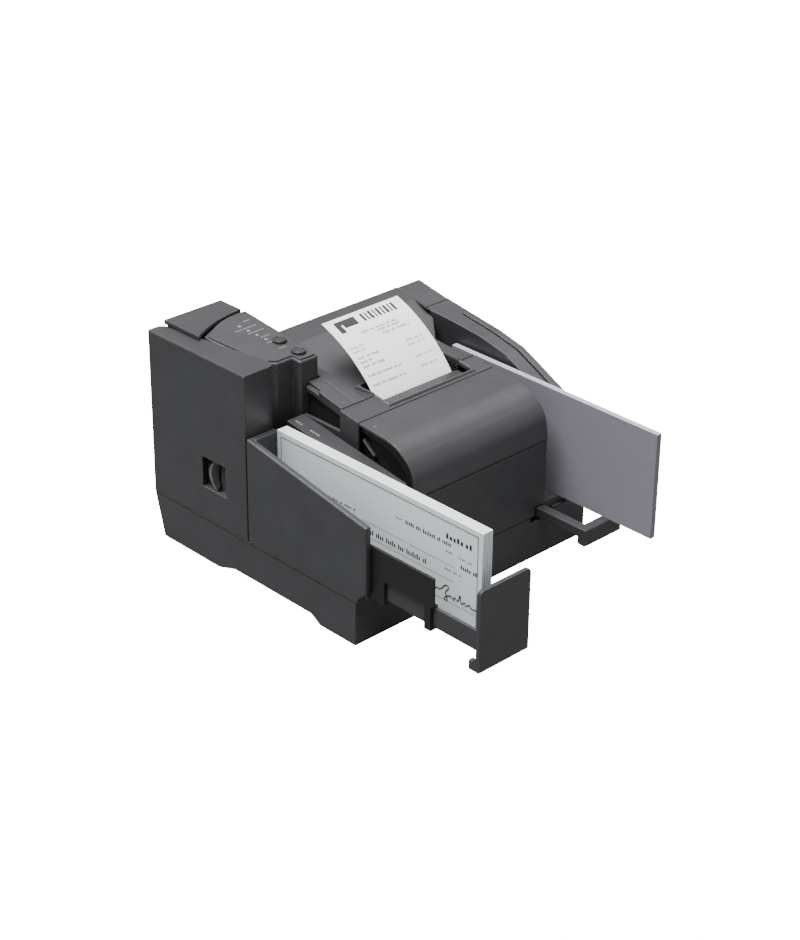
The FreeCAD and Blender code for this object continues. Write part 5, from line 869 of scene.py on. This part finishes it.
def add_trims():
    add_lever_dish()
    add_cup_shadow()
    add_seams()
    add_panel_marks()
    add_ledge_marks()
    add_button_rims()
    add_slot_rim()
    add_seam_dots()
    add_cheque_print()
    add_signature()
    add_stack_edges()
    add_receipt_print()
    add_cover_end()
    add_roll_windings()
    add_rear_vents()


add_trims()


# camera, light and floor

CAMERA_PLACE = (-1.081358, -1.089245, 0.899850)
CAMERA_AZIMUTH = -44.03
CAMERA_HEIGHT = 28.07
CAMERA_ROLL = 0.60
CAMERA_LENS = 86.6
CAMERA_SENSOR = 36
CAMERA_FAR = 50


def add_camera():
    """Three-quarter view from the front left, high up."""
    azimuth = math.radians(CAMERA_AZIMUTH)
    height = math.radians(CAMERA_HEIGHT)
    roll = math.radians(CAMERA_ROLL)
    back = Vector((math.sin(azimuth) * math.cos(height), -math.cos(azimuth) * math.cos(height),
                   math.sin(height)))
    right = Vector((0, 0, 1)).cross(back).normalized()
    up = back.cross(right)
    right, up = right * math.cos(roll) + up * math.sin(roll), up * math.cos(roll) - right * math.sin(roll)
    data = bpy.data.cameras.new("camera")
    data.lens = CAMERA_LENS
    data.sensor_width = CAMERA_SENSOR
    data.clip_end = CAMERA_FAR
    camera = bpy.data.objects.new("camera", data)
    bpy.context.scene.collection.objects.link(camera)
    turn = Matrix((right, up, back)).transposed().to_4x4()
    camera.matrix_world = Matrix.Translation(CAMERA_PLACE) @ turn
    bpy.context.scene.camera = camera


def add_sun(name, toward, spread_angle, power):
    """Wide soft light from far off; toward is the direction to it."""
    data = bpy.data.lights.new(name, "SUN")
    data.angle = math.radians(spread_angle)
    data.energy = power
    lamp = bpy.data.objects.new(name, data)
    lamp.rotation_euler = (-Vector(toward)).to_track_quat("-Z", "Y").to_euler()
    bpy.context.scene.collection.objects.link(lamp)


# name, direction to it, spread in degrees and strength of each light
SUNS = (
    ("top_light", (-0.24, 0.1, 0.97), 40, 7.9),
    ("back_light", (0.61, 0.12, 0.78), 30, 0.6),
    ("front_light", (0.05, -0.95, 0.3), 60, 0.45),
)
FLOOR_GLOW = 16.0
FLOOR_HALF = 12
FLOOR_Z = -0.0005
FLOOR_SEEN = ((0.93, 0.93, 0.93), (0.95, 0.95, 0.95))
FLOOR_THROWN = (0.13, 0.13, 0.13)
WORLD_LIGHT = 0.41


def add_floor():
    """Pale floor: white to the camera, and a soft grey to the light that it throws back on the object."""
    mesh = bpy.data.meshes.new("floor")
    corners = ((-1, -1), (1, -1), (1, 1), (-1, 1))
    mesh.from_pydata([(x * FLOOR_HALF, y * FLOOR_HALF, FLOOR_Z) for x, y in corners], [], [(0, 1, 2, 3)])
    floor = bpy.data.objects.new("floor", mesh)
    bpy.context.scene.collection.objects.link(floor)
    material, tree = new_material("floor_paper")
    shader = tree.nodes["Principled BSDF"]
    shader.inputs["Roughness"].default_value = 1
    shader.inputs["Specular IOR Level"].default_value = 0
    path = tree.nodes.new("ShaderNodeLightPath")
    tone = tree.nodes.new("ShaderNodeMix")
    tone.data_type = "RGBA"
    tone.inputs["A"].default_value = (*FLOOR_THROWN, 1)
    seen = ramp(tree, noise(tree, 3), [(0.3, FLOOR_SEEN[0]), (0.7, FLOOR_SEEN[1])])
    link(tree, seen, tone.inputs["B"])
    link(tree, path.outputs["Is Camera Ray"], tone.inputs["Factor"])
    link(tree, tone.outputs["Result"], shader.inputs["Base Color"])
    shader.inputs["Emission Color"].default_value = (1, 1, 1, 1)
    glow = tree.nodes.new("ShaderNodeMath")
    glow.operation = "MULTIPLY"
    glow.inputs[1].default_value = FLOOR_GLOW
    link(tree, path.outputs["Is Camera Ray"], glow.inputs[0])
    link(tree, glow.outputs["Value"], shader.inputs["Emission Strength"])
    mesh.materials.append(material)


def add_world():
    world = bpy.data.worlds.new("studio")
    world.use_nodes = True
    background = world.node_tree.nodes["Background"]
    background.inputs["Color"].default_value = (1, 1, 1, 1)
    background.inputs["Strength"].default_value = WORLD_LIGHT
    bpy.context.scene.world = world


add_camera()
add_floor()
add_world()
for sun in SUNS:
    add_sun(*sun)
